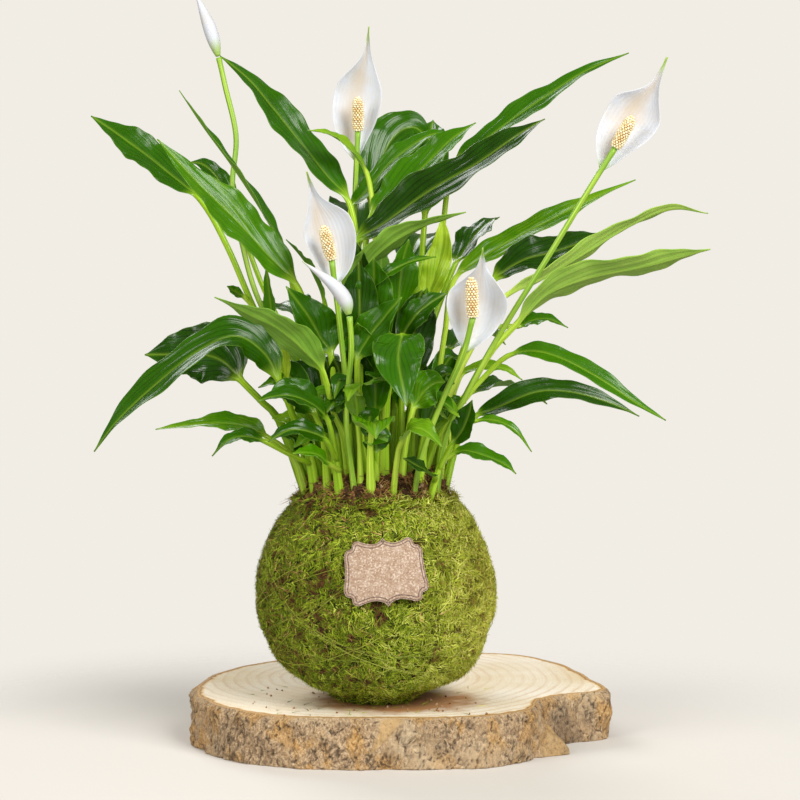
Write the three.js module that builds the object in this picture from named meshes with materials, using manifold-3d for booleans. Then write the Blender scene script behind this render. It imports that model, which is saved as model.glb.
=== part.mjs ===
// Kokedama: a peace lily that grows from a moss ball, which rests on a slice of a tree trunk.
// Millimetres, +Z up, +X to the right and -Y to the front. The origin lies on the underside of
// the slice, below the middle of the ball.
import * as THREE from "three";
import { mergeVertices } from "three/addons/utils/BufferGeometryUtils.js";
import Module from "manifold-3d";

const wasm = await Module();
wasm.setup();

// Driving dimensions
const GAP = 0.3;
const SLICE_THICKNESS = 31;
const BALL_RADIUS = 75;
const BALL_TOP = 78;
const BALL_BOTTOM = 65.5;
const FOOT_RADIUS = 24;
const MOSS_THICKNESS = 8;
const MOSS_RELIEF = 0.4;
const MOSS_LUMPS = { round: 4, up: 5, twist: 2, fade: 1.35 };
const OPENING_RADIUS = 45.5;
const OPENING_LATITUDE = 50;
const LIP_WIDTH = 2.2;
const LIP_DROP = 1.2;
const SOIL_CROWN = 13;
const SOIL_RELIEF = 0.9;
const ROOT_DEPTH = 10;
const THREAD_SIZE = 0.7;
const THREAD_TILT = 44;
const THREAD_CLEARANCE = 0.85;
const LABEL_THICKNESS = 1;
const LABEL_CLEARANCE = 2.3;
const BLADE_EDGE = 0.7;
const BLADE_MIDRIB = 1.5;
const SPATHE_THICKNESS = 0.8;
const STALK_RADIUS = 1.7;
const SPADIX_RADIUS = 3.2;
const FLORET_HEIGHT = 1;

// Places that follow from them
const BALL_CENTRE = SLICE_THICKNESS + BALL_BOTTOM;
const BALL_FOOT = SLICE_THICKNESS + GAP;
const OPENING_HEIGHT = BALL_CENTRE + BALL_TOP * Math.sin((OPENING_LATITUDE * Math.PI) / 180);

// Counts of facets
const BALL_SIDES = 36;
const THREAD_SIDES = 3;
const THREAD_STEPS = 26;
const THREAD_TURNS = 4;
const STALK_SIDES = 5;
const FLORETS_ROUND = 8;
const FLORET_ROWS = 9;
const BLADE_STEP = 17;
const STEM_STEP = 30;
const STALK_STEP = 26;

// Finishes
const finish = (color, roughness) => new THREE.MeshStandardMaterial({ color, roughness, metalness: 0 });
const WOOD = finish("#C9AE86", 0.85);
const MOSS = finish("#6B8A20", 0.95);
const SOIL = finish("#4A3220", 1);
const THREAD = finish("#7C7A45", 0.8);
const KRAFT = finish("#DCC3AC", 0.9);
const LEAF = finish("#3F8012", 0.45);
const STALK = finish("#8FBE30", 0.5);
const SPATHE = finish("#EDEAE4", 0.55);
const SPADIX = finish("#EBD9A0", 0.7);

const radians = (degrees) => (degrees * Math.PI) / 180;
const lerp = (from, to, share) => from + (to - from) * share;
const smoothstep = (share) => {
  const held = Math.min(Math.max(share, 0), 1);
  return held * held * (3 - 2 * held);
};
const vector = (point) => new THREE.Vector3(...point);

// A closed body from its corners and the corner numbers of its triangles
function body(corners, triangles) {
  const geometry = new THREE.BufferGeometry();
  const places = corners.flatMap((corner) => corner.toArray());
  geometry.setAttribute("position", new THREE.Float32BufferAttribute(places, 3));
  geometry.setIndex(triangles.flat());
  return geometry;
}

// Rings of corners joined one to the next, with both ends closed. On a blade the two faces carry
// the same diagonals, so they stay apart where the blade is waved.
function loft(rings, alike = false) {
  const count = rings[0].length;
  const last = (rings.length - 1) * count;
  const triangles = [];
  for (let ring = 0; ring < rings.length - 1; ring += 1) {
    for (let side = 0; side < count; side += 1) {
      const a = ring * count + side;
      const b = ring * count + ((side + 1) % count);
      const c = b + count;
      const d = a + count;
      const mirrored = alike && side >= count / 2;
      triangles.push(...(mirrored ? [[a, b, d], [b, c, d]] : [[a, b, c], [a, c, d]]));
    }
  }
  triangles.push(...lid(count).map(([a, b, c]) => [a, c, b]));
  triangles.push(...lid(count).map((corner) => corner.map((number) => last + number)));
  return body(rings.flat(), triangles);
}

// The flat end of a loft, as a strip of triangles from one face across to the other
function lid(count) {
  const triangles = [];
  for (let near = 0; near < Math.ceil(count / 2) - 1; near += 1) {
    const far = count - 1 - near;
    triangles.push([near, near + 1, far]);
    if (far - 1 > near + 1) {
      triangles.push([near + 1, far - 1, far]);
    }
  }
  return triangles;
}

function toSolid(geometry) {
  return new wasm.Manifold(new wasm.Mesh({
    numProp: 3,
    vertProperties: new Float32Array(geometry.attributes.position.array),
    triVerts: new Uint32Array(geometry.index.array),
  }));
}

function toGeometry(solid) {
  const mesh = solid.getMesh();
  const geometry = new THREE.BufferGeometry();
  geometry.setAttribute("position", new THREE.BufferAttribute(new Float32Array(mesh.vertProperties), 3));
  geometry.setIndex(new THREE.BufferAttribute(new Uint32Array(mesh.triVerts), 1));
  return geometry;
}

function fused(geometries) {
  return toGeometry(geometries.map(toSolid).reduce((whole, piece) => whole.add(piece)));
}

// A profile of [radius, height] turned about Z, from the axis round to the axis
function turned(profile, sides) {
  const lathe = new THREE.LatheGeometry(profile.map((point) => new THREE.Vector2(...point)), sides);
  lathe.rotateX(Math.PI / 2);
  lathe.deleteAttribute("normal");
  lathe.deleteAttribute("uv");
  const merged = mergeVertices(lathe, 1e-3);
  const numbers = Array.from(merged.index.array);
  const whole = [];
  for (let at = 0; at < numbers.length; at += 3) {
    const [a, b, c] = numbers.slice(at, at + 3);
    if (a !== b && b !== c && c !== a) {
      whole.push(a, b, c);
    }
  }
  merged.setIndex(whole);
  return merged;
}

function reshaped(geometry, move) {
  const position = geometry.attributes.position;
  const corner = new THREE.Vector3();
  for (let at = 0; at < position.count; at += 1) {
    move(corner.fromBufferAttribute(position, at));
    position.setXYZ(at, corner.x, corner.y, corner.z);
  }
  return geometry;
}

// The ball
function mossRelief(azimuth, latitude) {
  const { round, up, twist, fade } = MOSS_LUMPS;
  const lumps = Math.sin(round * azimuth + twist * Math.sin(3 * latitude)) * Math.cos(up * latitude);
  return MOSS_RELIEF * lumps * Math.max(0, Math.cos(latitude * fade));
}

function ballPoint(azimuth, latitude, offset) {
  const radius = (BALL_RADIUS + offset) * Math.cos(latitude);
  const reach = latitude > 0 ? BALL_TOP : BALL_BOTTOM;
  const height = BALL_CENTRE + (reach + offset) * Math.sin(latitude);
  return new THREE.Vector3(radius * Math.cos(azimuth), radius * Math.sin(azimuth), height);
}

// The ball's profile at latitudes in degrees, moved in or out
const ballProfile = (first, last, step, offset) => {
  const rows = [];
  for (let latitude = first; latitude <= last; latitude += step) {
    const corner = ballPoint(0, radians(latitude), offset);
    rows.push([corner.x, corner.z]);
  }
  return rows;
};
const innerProfile = (inset) => ballProfile(-70, OPENING_LATITUDE - 8, 16, -inset);

function mossWrap() {
  const inner = innerProfile(MOSS_THICKNESS).reverse();
  const shell = turned([
    [0, BALL_FOOT], [FOOT_RADIUS, BALL_FOOT],
    ...ballProfile(-64, OPENING_LATITUDE - 1, 12, 0),
    [OPENING_RADIUS + LIP_WIDTH, OPENING_HEIGHT], [OPENING_RADIUS, OPENING_HEIGHT - LIP_DROP],
    ...inner, [0, inner.at(-1)[1] - 1],
  ], BALL_SIDES);
  return reshaped(shell, (corner) => {
    const across = Math.hypot(corner.x, corner.y) / BALL_RADIUS;
    const up = (corner.z - BALL_CENTRE) / (corner.z > BALL_CENTRE ? BALL_TOP : BALL_BOTTOM);
    const outside = Math.hypot(across, up) > 1 - MOSS_THICKNESS / 2 / BALL_RADIUS;
    if (outside && corner.z > BALL_FOOT + 1 && corner.z < OPENING_HEIGHT - LIP_DROP) {
      const azimuth = Math.atan2(corner.y, corner.x);
      const latitude = Math.atan2(up, across);
      corner.copy(ballPoint(azimuth, latitude, mossRelief(azimuth, latitude)));
    }
  });
}

function soilHeight(x, y) {
  const away = Math.min(Math.hypot(x, y) / OPENING_RADIUS, 1);
  const lumps = Math.sin(0.31 * x + 1) * Math.cos(0.27 * y) * (1 - away ** 2);
  return OPENING_HEIGHT + 1 + SOIL_CROWN * (1 - away ** 3) + SOIL_RELIEF * lumps;
}

const SOIL_RINGS = [38, 28, 17, 7, 0];

function soilBall() {
  const inset = MOSS_THICKNESS + GAP;
  const inner = innerProfile(inset);
  const rim = OPENING_RADIUS - GAP;
  const profile = [[0, inner[0][1] - 1 + GAP], ...inner, [rim, OPENING_HEIGHT - 1.5]];
  profile.push(...[rim - 0.5, ...SOIL_RINGS].map((radius) => [radius, soilHeight(radius, 0)]));
  return reshaped(turned(profile, BALL_SIDES), (corner) => {
    if (corner.z > OPENING_HEIGHT && Math.hypot(corner.x, corner.y) < rim - 0.2) {
      corner.z = soilHeight(corner.x, corner.y);
    }
  });
}

// Great circles that lean one way and the other, so that they cross like a wound thread
function bindingThread() {
  const loops = [];
  for (let turn = 0; turn < THREAD_TURNS; turn += 1) {
    const lean = radians(45 + (360 / THREAD_TURNS) * turn);
    const rings = [];
    for (let step = 0; step < THREAD_STEPS; step += 1) {
      const along = (step / THREAD_STEPS) * 2 * Math.PI;
      const latitude = radians(THREAD_TILT - turn) * Math.sin(along);
      const azimuth = lean + along;
      rings.push(Array.from({ length: THREAD_SIDES }, (_, side) => {
        const spin = (side / THREAD_SIDES) * 2 * Math.PI;
        const out = THREAD_CLEARANCE + MOSS_RELIEF + (THREAD_SIZE / 2) * (1 + Math.cos(spin));
        return ballPoint(azimuth, latitude + (THREAD_SIZE / 2 / BALL_RADIUS) * Math.sin(spin), out);
      }));
    }
    loops.push(closedLoop(rings));
  }
  return fused(loops);
}

function closedLoop(rings) {
  const count = rings[0].length;
  const total = rings.length * count;
  const triangles = [];
  for (let ring = 0; ring < rings.length; ring += 1) {
    for (let side = 0; side < count; side += 1) {
      const a = ring * count + side;
      const b = ring * count + ((side + 1) % count);
      const c = (b + count) % total;
      const d = (a + count) % total;
      triangles.push([a, c, b], [a, d, c]);
    }
  }
  return body(rings.flat(), triangles);
}

// The label: a bracket-shaped card, bent to the ball. One quarter of its outline, mirrored twice.
const LABEL = { azimuth: -85, latitude: 17.7, turn: 4 };
const LABEL_QUARTER = [
  [0, 19.4], [2.4, 17], [6.6, 15.9], [11.3, 16.6], [16, 18.1], [19.1, 16.8],
  [19.8, 13.8], [22.7, 12.7], [24, 9.5], [23.4, 4.7], [23.2, 0],
];

function labelOutline() {
  const right = [...LABEL_QUARTER, ...LABEL_QUARTER.slice(0, -1).reverse().map(([u, v]) => [u, -v])];
  const left = right.slice(1, -1).reverse().map(([u, v]) => [-u, v]);
  return [...right, ...left].reverse();
}

function label() {
  const outline = labelOutline();
  const count = outline.length;
  const turn = radians(LABEL.turn);
  const place = (u, v, offset) => {
    const across = u * Math.cos(turn) - v * Math.sin(turn);
    const up = u * Math.sin(turn) + v * Math.cos(turn);
    const latitude = radians(LABEL.latitude) + up / BALL_RADIUS;
    const azimuth = radians(LABEL.azimuth) + across / (BALL_RADIUS * Math.cos(radians(LABEL.latitude)));
    return ballPoint(azimuth, latitude, offset);
  };
  const corners = [];
  for (const offset of [LABEL_CLEARANCE, LABEL_CLEARANCE + LABEL_THICKNESS]) {
    corners.push(place(0, 0, offset));
    for (const share of [0.55, 1]) {
      corners.push(...outline.map(([u, v]) => place(u * share, v * share, offset)));
    }
  }
  const face = 1 + 2 * count;
  const triangles = [];
  for (let at = 0; at < count; at += 1) {
    const next = (at + 1) % count;
    const inner = [1 + at, 1 + next];
    const outer = [1 + count + at, 1 + count + next];
    const flat = [[0, inner[0], inner[1]], [inner[0], outer[0], outer[1]], [inner[0], outer[1], inner[1]]];
    triangles.push(...flat.map(([a, b, c]) => [a, c, b]));
    triangles.push(...flat.map((corner) => corner.map((number) => number + face)));
    triangles.push([outer[0], outer[1] + face, outer[0] + face], [outer[0], outer[1], outer[1] + face]);
  }
  return body(corners, triangles);
}

// The slice of trunk: its outline at the top, and the splinter that its foot keeps at the notch
const SLICE_OUTLINE = [
  [-112, 7], [-114, 30], [-109, 73], [-90, 108], [-61, 137], [-20, 155], [25, 163], [72, 159], [94, 154],
  [113, 133], [128, 103], [139, 63], [145, 25], [136, 18], [122, 12], [110, 2], [101, -7], [98, -26],
  [91, -41], [76, -54], [42, -63], [5, -64], [-33, -63], [-66, -54], [-92, -32], [-104, -12],
];
const SLICE_POINTS = 72;
const SLICE_LEVELS = [0, 0.2, 0.45, 0.7, 0.9, 1];
const PITH = [10, 45];
const BARK_RELIEF = 1.8;
const BARK_SWELL = 2.6;
const RIM_INSET = 1.2;
const SPLINTER = { x: 104, y: -16, reach: 24, spread: 18 };

function woodSlice() {
  const [x, y] = PITH;
  const middle = new THREE.Vector3(x, y, 0);
  const outline = new THREE.CatmullRomCurve3(
    SLICE_OUTLINE.map((point) => new THREE.Vector3(...point, 0)).reverse(), true, "centripetal",
  ).getSpacedPoints(SLICE_POINTS).slice(0, -1);
  const rings = SLICE_LEVELS.map((level, row) => outline.map((point, at) => {
    const bark = (Math.sin(at * 1.9 + row * 1.3) + Math.sin(at * 0.83 - row * 0.9)) / 2;
    const out = BARK_RELIEF * bark + (level < 1 ? BARK_SWELL : -RIM_INSET);
    const near = Math.hypot(point.x - SPLINTER.x, point.y - SPLINTER.y) / SPLINTER.spread;
    const splinter = SPLINTER.reach * Math.max(0, 1 - near) * (1 - smoothstep(level * 1.2));
    const corner = point.clone().addScaledVector(point.clone().sub(middle).normalize(), out);
    return corner.add(new THREE.Vector3(splinter, -splinter / 4, level * SLICE_THICKNESS));
  }));
  const halfway = (ring) => ring.map((corner) => corner.clone().lerp(middle.clone().setZ(corner.z), 0.5));
  const columns = [halfway(rings[0]), ...rings, halfway(rings.at(-1))];
  return capped(columns, middle, middle.clone().setZ(SLICE_THICKNESS));
}

// Rings with a single corner closing each end
function capped(rings, first, last) {
  const count = rings[0].length;
  const corners = [...rings.flat(), first, last];
  const bottom = corners.length - 2;
  const top = corners.length - 1;
  const triangles = [];
  for (let side = 0; side < count; side += 1) {
    const next = (side + 1) % count;
    for (let ring = 0; ring < rings.length - 1; ring += 1) {
      const a = ring * count + side;
      const b = ring * count + next;
      triangles.push([a, b, b + count], [a, b + count, a + count]);
    }
    const end = (rings.length - 1) * count;
    triangles.push([bottom, next, side], [top, end + side, end + next]);
  }
  return body(corners, triangles);
}

// A leaf: a six-sided stem that flattens into a folded, waved blade. The path runs from the foot
// of the stem to the tip, and the blade starts at the path's point number `base`. `face` and
// `tipFace` say which way its upper side looks there and at the tip.
const blade = (width, base, face, tipFace, path) => ({ width, base, face, tipFace, path });
const STEM_SHARE = 1 / 26;
const STEM_LEAST = 2.9;
const FOLD = 0.22;
const WAVE_SHARE = 0.07;
const WAVES = 2.6;
const WAVE_SHIFT = 2.2;
const FLATTENING = 0.12;

const bladeShape = (share) => (share ** 0.8 * (1 - share) ** 1.2) / (0.4 ** 0.8 * 0.6 ** 1.2);

function bladeFrame(leaf, curve, at) {
  const along = at < 1 - 1e-3 ? at : 1 - 1e-3;
  const tangent = curve.getTangent(along);
  const start = leaf.base / (leaf.path.length - 1);
  const share = Math.max(0, (at - start) / (1 - start));
  const face = vector(leaf.face).normalize().lerp(vector(leaf.tipFace).normalize(), share);
  const normal = face.addScaledVector(tangent, -face.dot(tangent)).normalize();
  const side = new THREE.Vector3().crossVectors(tangent, normal);
  return { point: curve.getPoint(at), side, normal, share };
}

function leafRing(leaf, curve, at, grow = 0) {
  const { point, side, normal, share } = bladeFrame(leaf, curve, at);
  const stem = (STEM_LEAST + leaf.width * STEM_SHARE) / 2 + grow;
  const flat = smoothstep(share / FLATTENING);
  const reach = (leaf.width / 2) * bladeShape(share);
  const half = Math.hypot(reach, stem * Math.cos(Math.PI / 6) * (1 - 0.8 * share));
  const edge = lerp(stem / 2, BLADE_EDGE / 2, flat);
  const rib = lerp(stem, lerp(BLADE_MIDRIB, BLADE_EDGE, share) / 2, flat);
  const wave = leaf.width * WAVE_SHARE * bladeShape(share);
  const phase = WAVES * 2 * Math.PI * share + leaf.path[0][0] + leaf.width;
  const lift = (reach * FOLD) / 2;
  const left = lift + wave * Math.sin(phase);
  const right = lift + wave * Math.sin(phase + WAVE_SHIFT);
  const place = (across, up) => point.clone().addScaledVector(side, across).addScaledVector(normal, up);
  return [
    place(-half, left + edge), place(0, rib - lift), place(half, right + edge),
    place(half, right - edge), place(0, -rib - lift), place(-half, left - edge),
  ];
}

function leafSteps(leaf, curve) {
  const start = leaf.base / (leaf.path.length - 1);
  const stemLength = curve.getLength() * start;
  const stemSteps = Math.max(2, Math.round(stemLength / STEM_STEP));
  const bladeSteps = Math.max(5, Math.round((curve.getLength() - stemLength) / BLADE_STEP));
  const stem = Array.from({ length: stemSteps }, (_, step) => (step / stemSteps) * start);
  const bladed = Array.from({ length: bladeSteps + 1 }, (_, step) => lerp(start, 1, step / bladeSteps));
  return [...stem, ...bladed];
}

const pathCurve = (path) => new THREE.CatmullRomCurve3(path.map(vector), false, "catmullrom", 0.5);

function leafBody(leaf) {
  const curve = pathCurve(leaf.path);
  return loft(leafSteps(leaf, curve).map((at) => leafRing(leaf, curve, at)), true);
}

// The hole in the soil that a stem stands in, as far up as the stem's first length
function hole(rings) {
  rings[0].forEach((corner) => corner.setZ(corner.z - GAP));
  return loft(rings, true);
}

function leafHole(leaf) {
  const curve = pathCurve(leaf.path);
  return hole(leafSteps(leaf, curve).slice(0, 2).map((at) => leafRing(leaf, curve, at, 2 * GAP)));
}

function tubeRing(curve, at, radius, sides) {
  const tangent = curve.getTangent(Math.min(at, 1 - 1e-3));
  const side = new THREE.Vector3(0, 1, 0).cross(tangent).normalize();
  const normal = new THREE.Vector3().crossVectors(tangent, side);
  const point = curve.getPoint(at);
  return Array.from({ length: sides }, (_, corner) => {
    const spin = (corner / sides) * 2 * Math.PI;
    return point.clone()
      .addScaledVector(side, radius * Math.cos(spin))
      .addScaledVector(normal, radius * Math.sin(spin));
  });
}

function stalkSteps(curve) {
  const steps = Math.max(6, Math.round(curve.getLength() / STALK_STEP));
  return Array.from({ length: steps + 1 }, (_, step) => step / steps);
}

function stalkBody(curve) {
  return loft(stalkSteps(curve).map((at) => tubeRing(curve, at, STALK_RADIUS, STALK_SIDES)));
}

function stalkHole(curve) {
  const radius = STALK_RADIUS + GAP * 1.3;
  return hole(stalkSteps(curve).slice(0, 2).map((at) => tubeRing(curve, at, radius, STALK_SIDES)));
}

// A spathe: a cupped blade with a long point, which stands behind the spadix
const SPATHE_STEPS = 10;
const SPATHE_ACROSS = [-1, -0.55, 0, 0.55, 1];
const spatheShape = (share) => Math.sin(Math.PI * Math.min(share / 0.86, 1)) ** 0.85;

function spatheRing(spathe, curve, share) {
  const tangent = curve.getTangent(Math.min(share, 1 - 1e-3));
  const face = vector(spathe.face).normalize();
  const normal = face.addScaledVector(tangent, -face.dot(tangent)).normalize();
  const side = new THREE.Vector3().crossVectors(tangent, normal);
  const half = Math.hypot((spathe.width / 2) * spatheShape(share), 1.2 * (1 - 0.6 * share));
  const point = curve.getPoint(share);
  const place = (across, up) => point.clone()
    .addScaledVector(side, across * half)
    .addScaledVector(normal, spathe.cup * half * across ** 2 + up);
  return [
    ...SPATHE_ACROSS.map((across) => place(across, SPATHE_THICKNESS / 2)),
    ...SPATHE_ACROSS.toReversed().map((across) => place(across, -SPATHE_THICKNESS / 2)),
  ];
}

function spatheBody(spathe) {
  const curve = pathCurve(spathe.path);
  const shares = Array.from({ length: SPATHE_STEPS + 1 }, (_, step) => step / SPATHE_STEPS);
  return loft(shares.map((share) => spatheRing(spathe, curve, share)), true);
}

// A spadix: rows of florets, each a raised diamond, on a slim round core
function spadixBody(foot, tip) {
  const axis = tip.clone().sub(foot);
  const up = axis.clone().normalize();
  const side = new THREE.Vector3(0, 1, 0).cross(up).normalize();
  const front = new THREE.Vector3().crossVectors(up, side);
  const spot = (share, turn, radius) => foot.clone()
    .addScaledVector(axis, share)
    .addScaledVector(side, radius * Math.cos(turn * 2 * Math.PI))
    .addScaledVector(front, radius * Math.sin(turn * 2 * Math.PI));
  const radiusAt = (share) => SPADIX_RADIUS * Math.sqrt(1 - 0.6 * (2 * Math.abs(share - 0.45)) ** 4);
  const corners = [];
  for (let row = 0; row <= FLORET_ROWS; row += 1) {
    for (let place = 0; place < FLORETS_ROUND; place += 1) {
      const share = row / FLORET_ROWS;
      corners.push(spot(share, (place + (row % 2) / 2) / FLORETS_ROUND, radiusAt(share)));
    }
  }
  const at = (row, place) => row * FLORETS_ROUND + ((place + FLORETS_ROUND) % FLORETS_ROUND);
  const triangles = [];
  for (let row = 0; row <= FLORET_ROWS; row += 1) {
    const shift = row % 2;
    for (let place = 0; place < FLORETS_ROUND; place += 1) {
      const left = at(row, place);
      const right = at(row, place + 1);
      const below = at(row - 1, place + shift);
      const above = at(row + 1, place + shift);
      if (row === 0) {
        triangles.push([left, right, above]);
      } else if (row === FLORET_ROWS) {
        triangles.push([left, below, right]);
      } else {
        const turn = (place + 0.5 + shift / 2) / FLORETS_ROUND;
        const crest = corners.length;
        const share = row / FLORET_ROWS;
        corners.push(spot(share, turn, radiusAt(share) + FLORET_HEIGHT));
        triangles.push([left, below, crest], [below, right, crest]);
        triangles.push([right, above, crest], [above, left, crest]);
      }
    }
  }
  const bottom = corners.push(foot.clone()) - 1;
  const top = corners.push(spot(1.04, 0, 0)) - 1;
  for (let place = 0; place < FLORETS_ROUND; place += 1) {
    triangles.push([bottom, at(0, place + 1), at(0, place)]);
    triangles.push([top, at(FLORET_ROWS, place), at(FLORET_ROWS, place + 1)]);
  }
  return body(corners, triangles);
}

// A bud: a spathe still rolled up, round in section and drawn out to a point
const BUD_SIDES = 7;
const BUD_STEPS = 8;
const BUD_POINT = 0.4;

function budBody(path, width) {
  const curve = pathCurve(path);
  const rings = Array.from({ length: BUD_STEPS + 1 }, (_, step) => {
    const share = step / BUD_STEPS;
    const swell = Math.sin(Math.PI * lerp(0.12, 1, share) ** 0.75);
    return tubeRing(curve, share, Math.max(BUD_POINT, (width / 2) * swell), BUD_SIDES);
  });
  return loft(rings);
}

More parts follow.
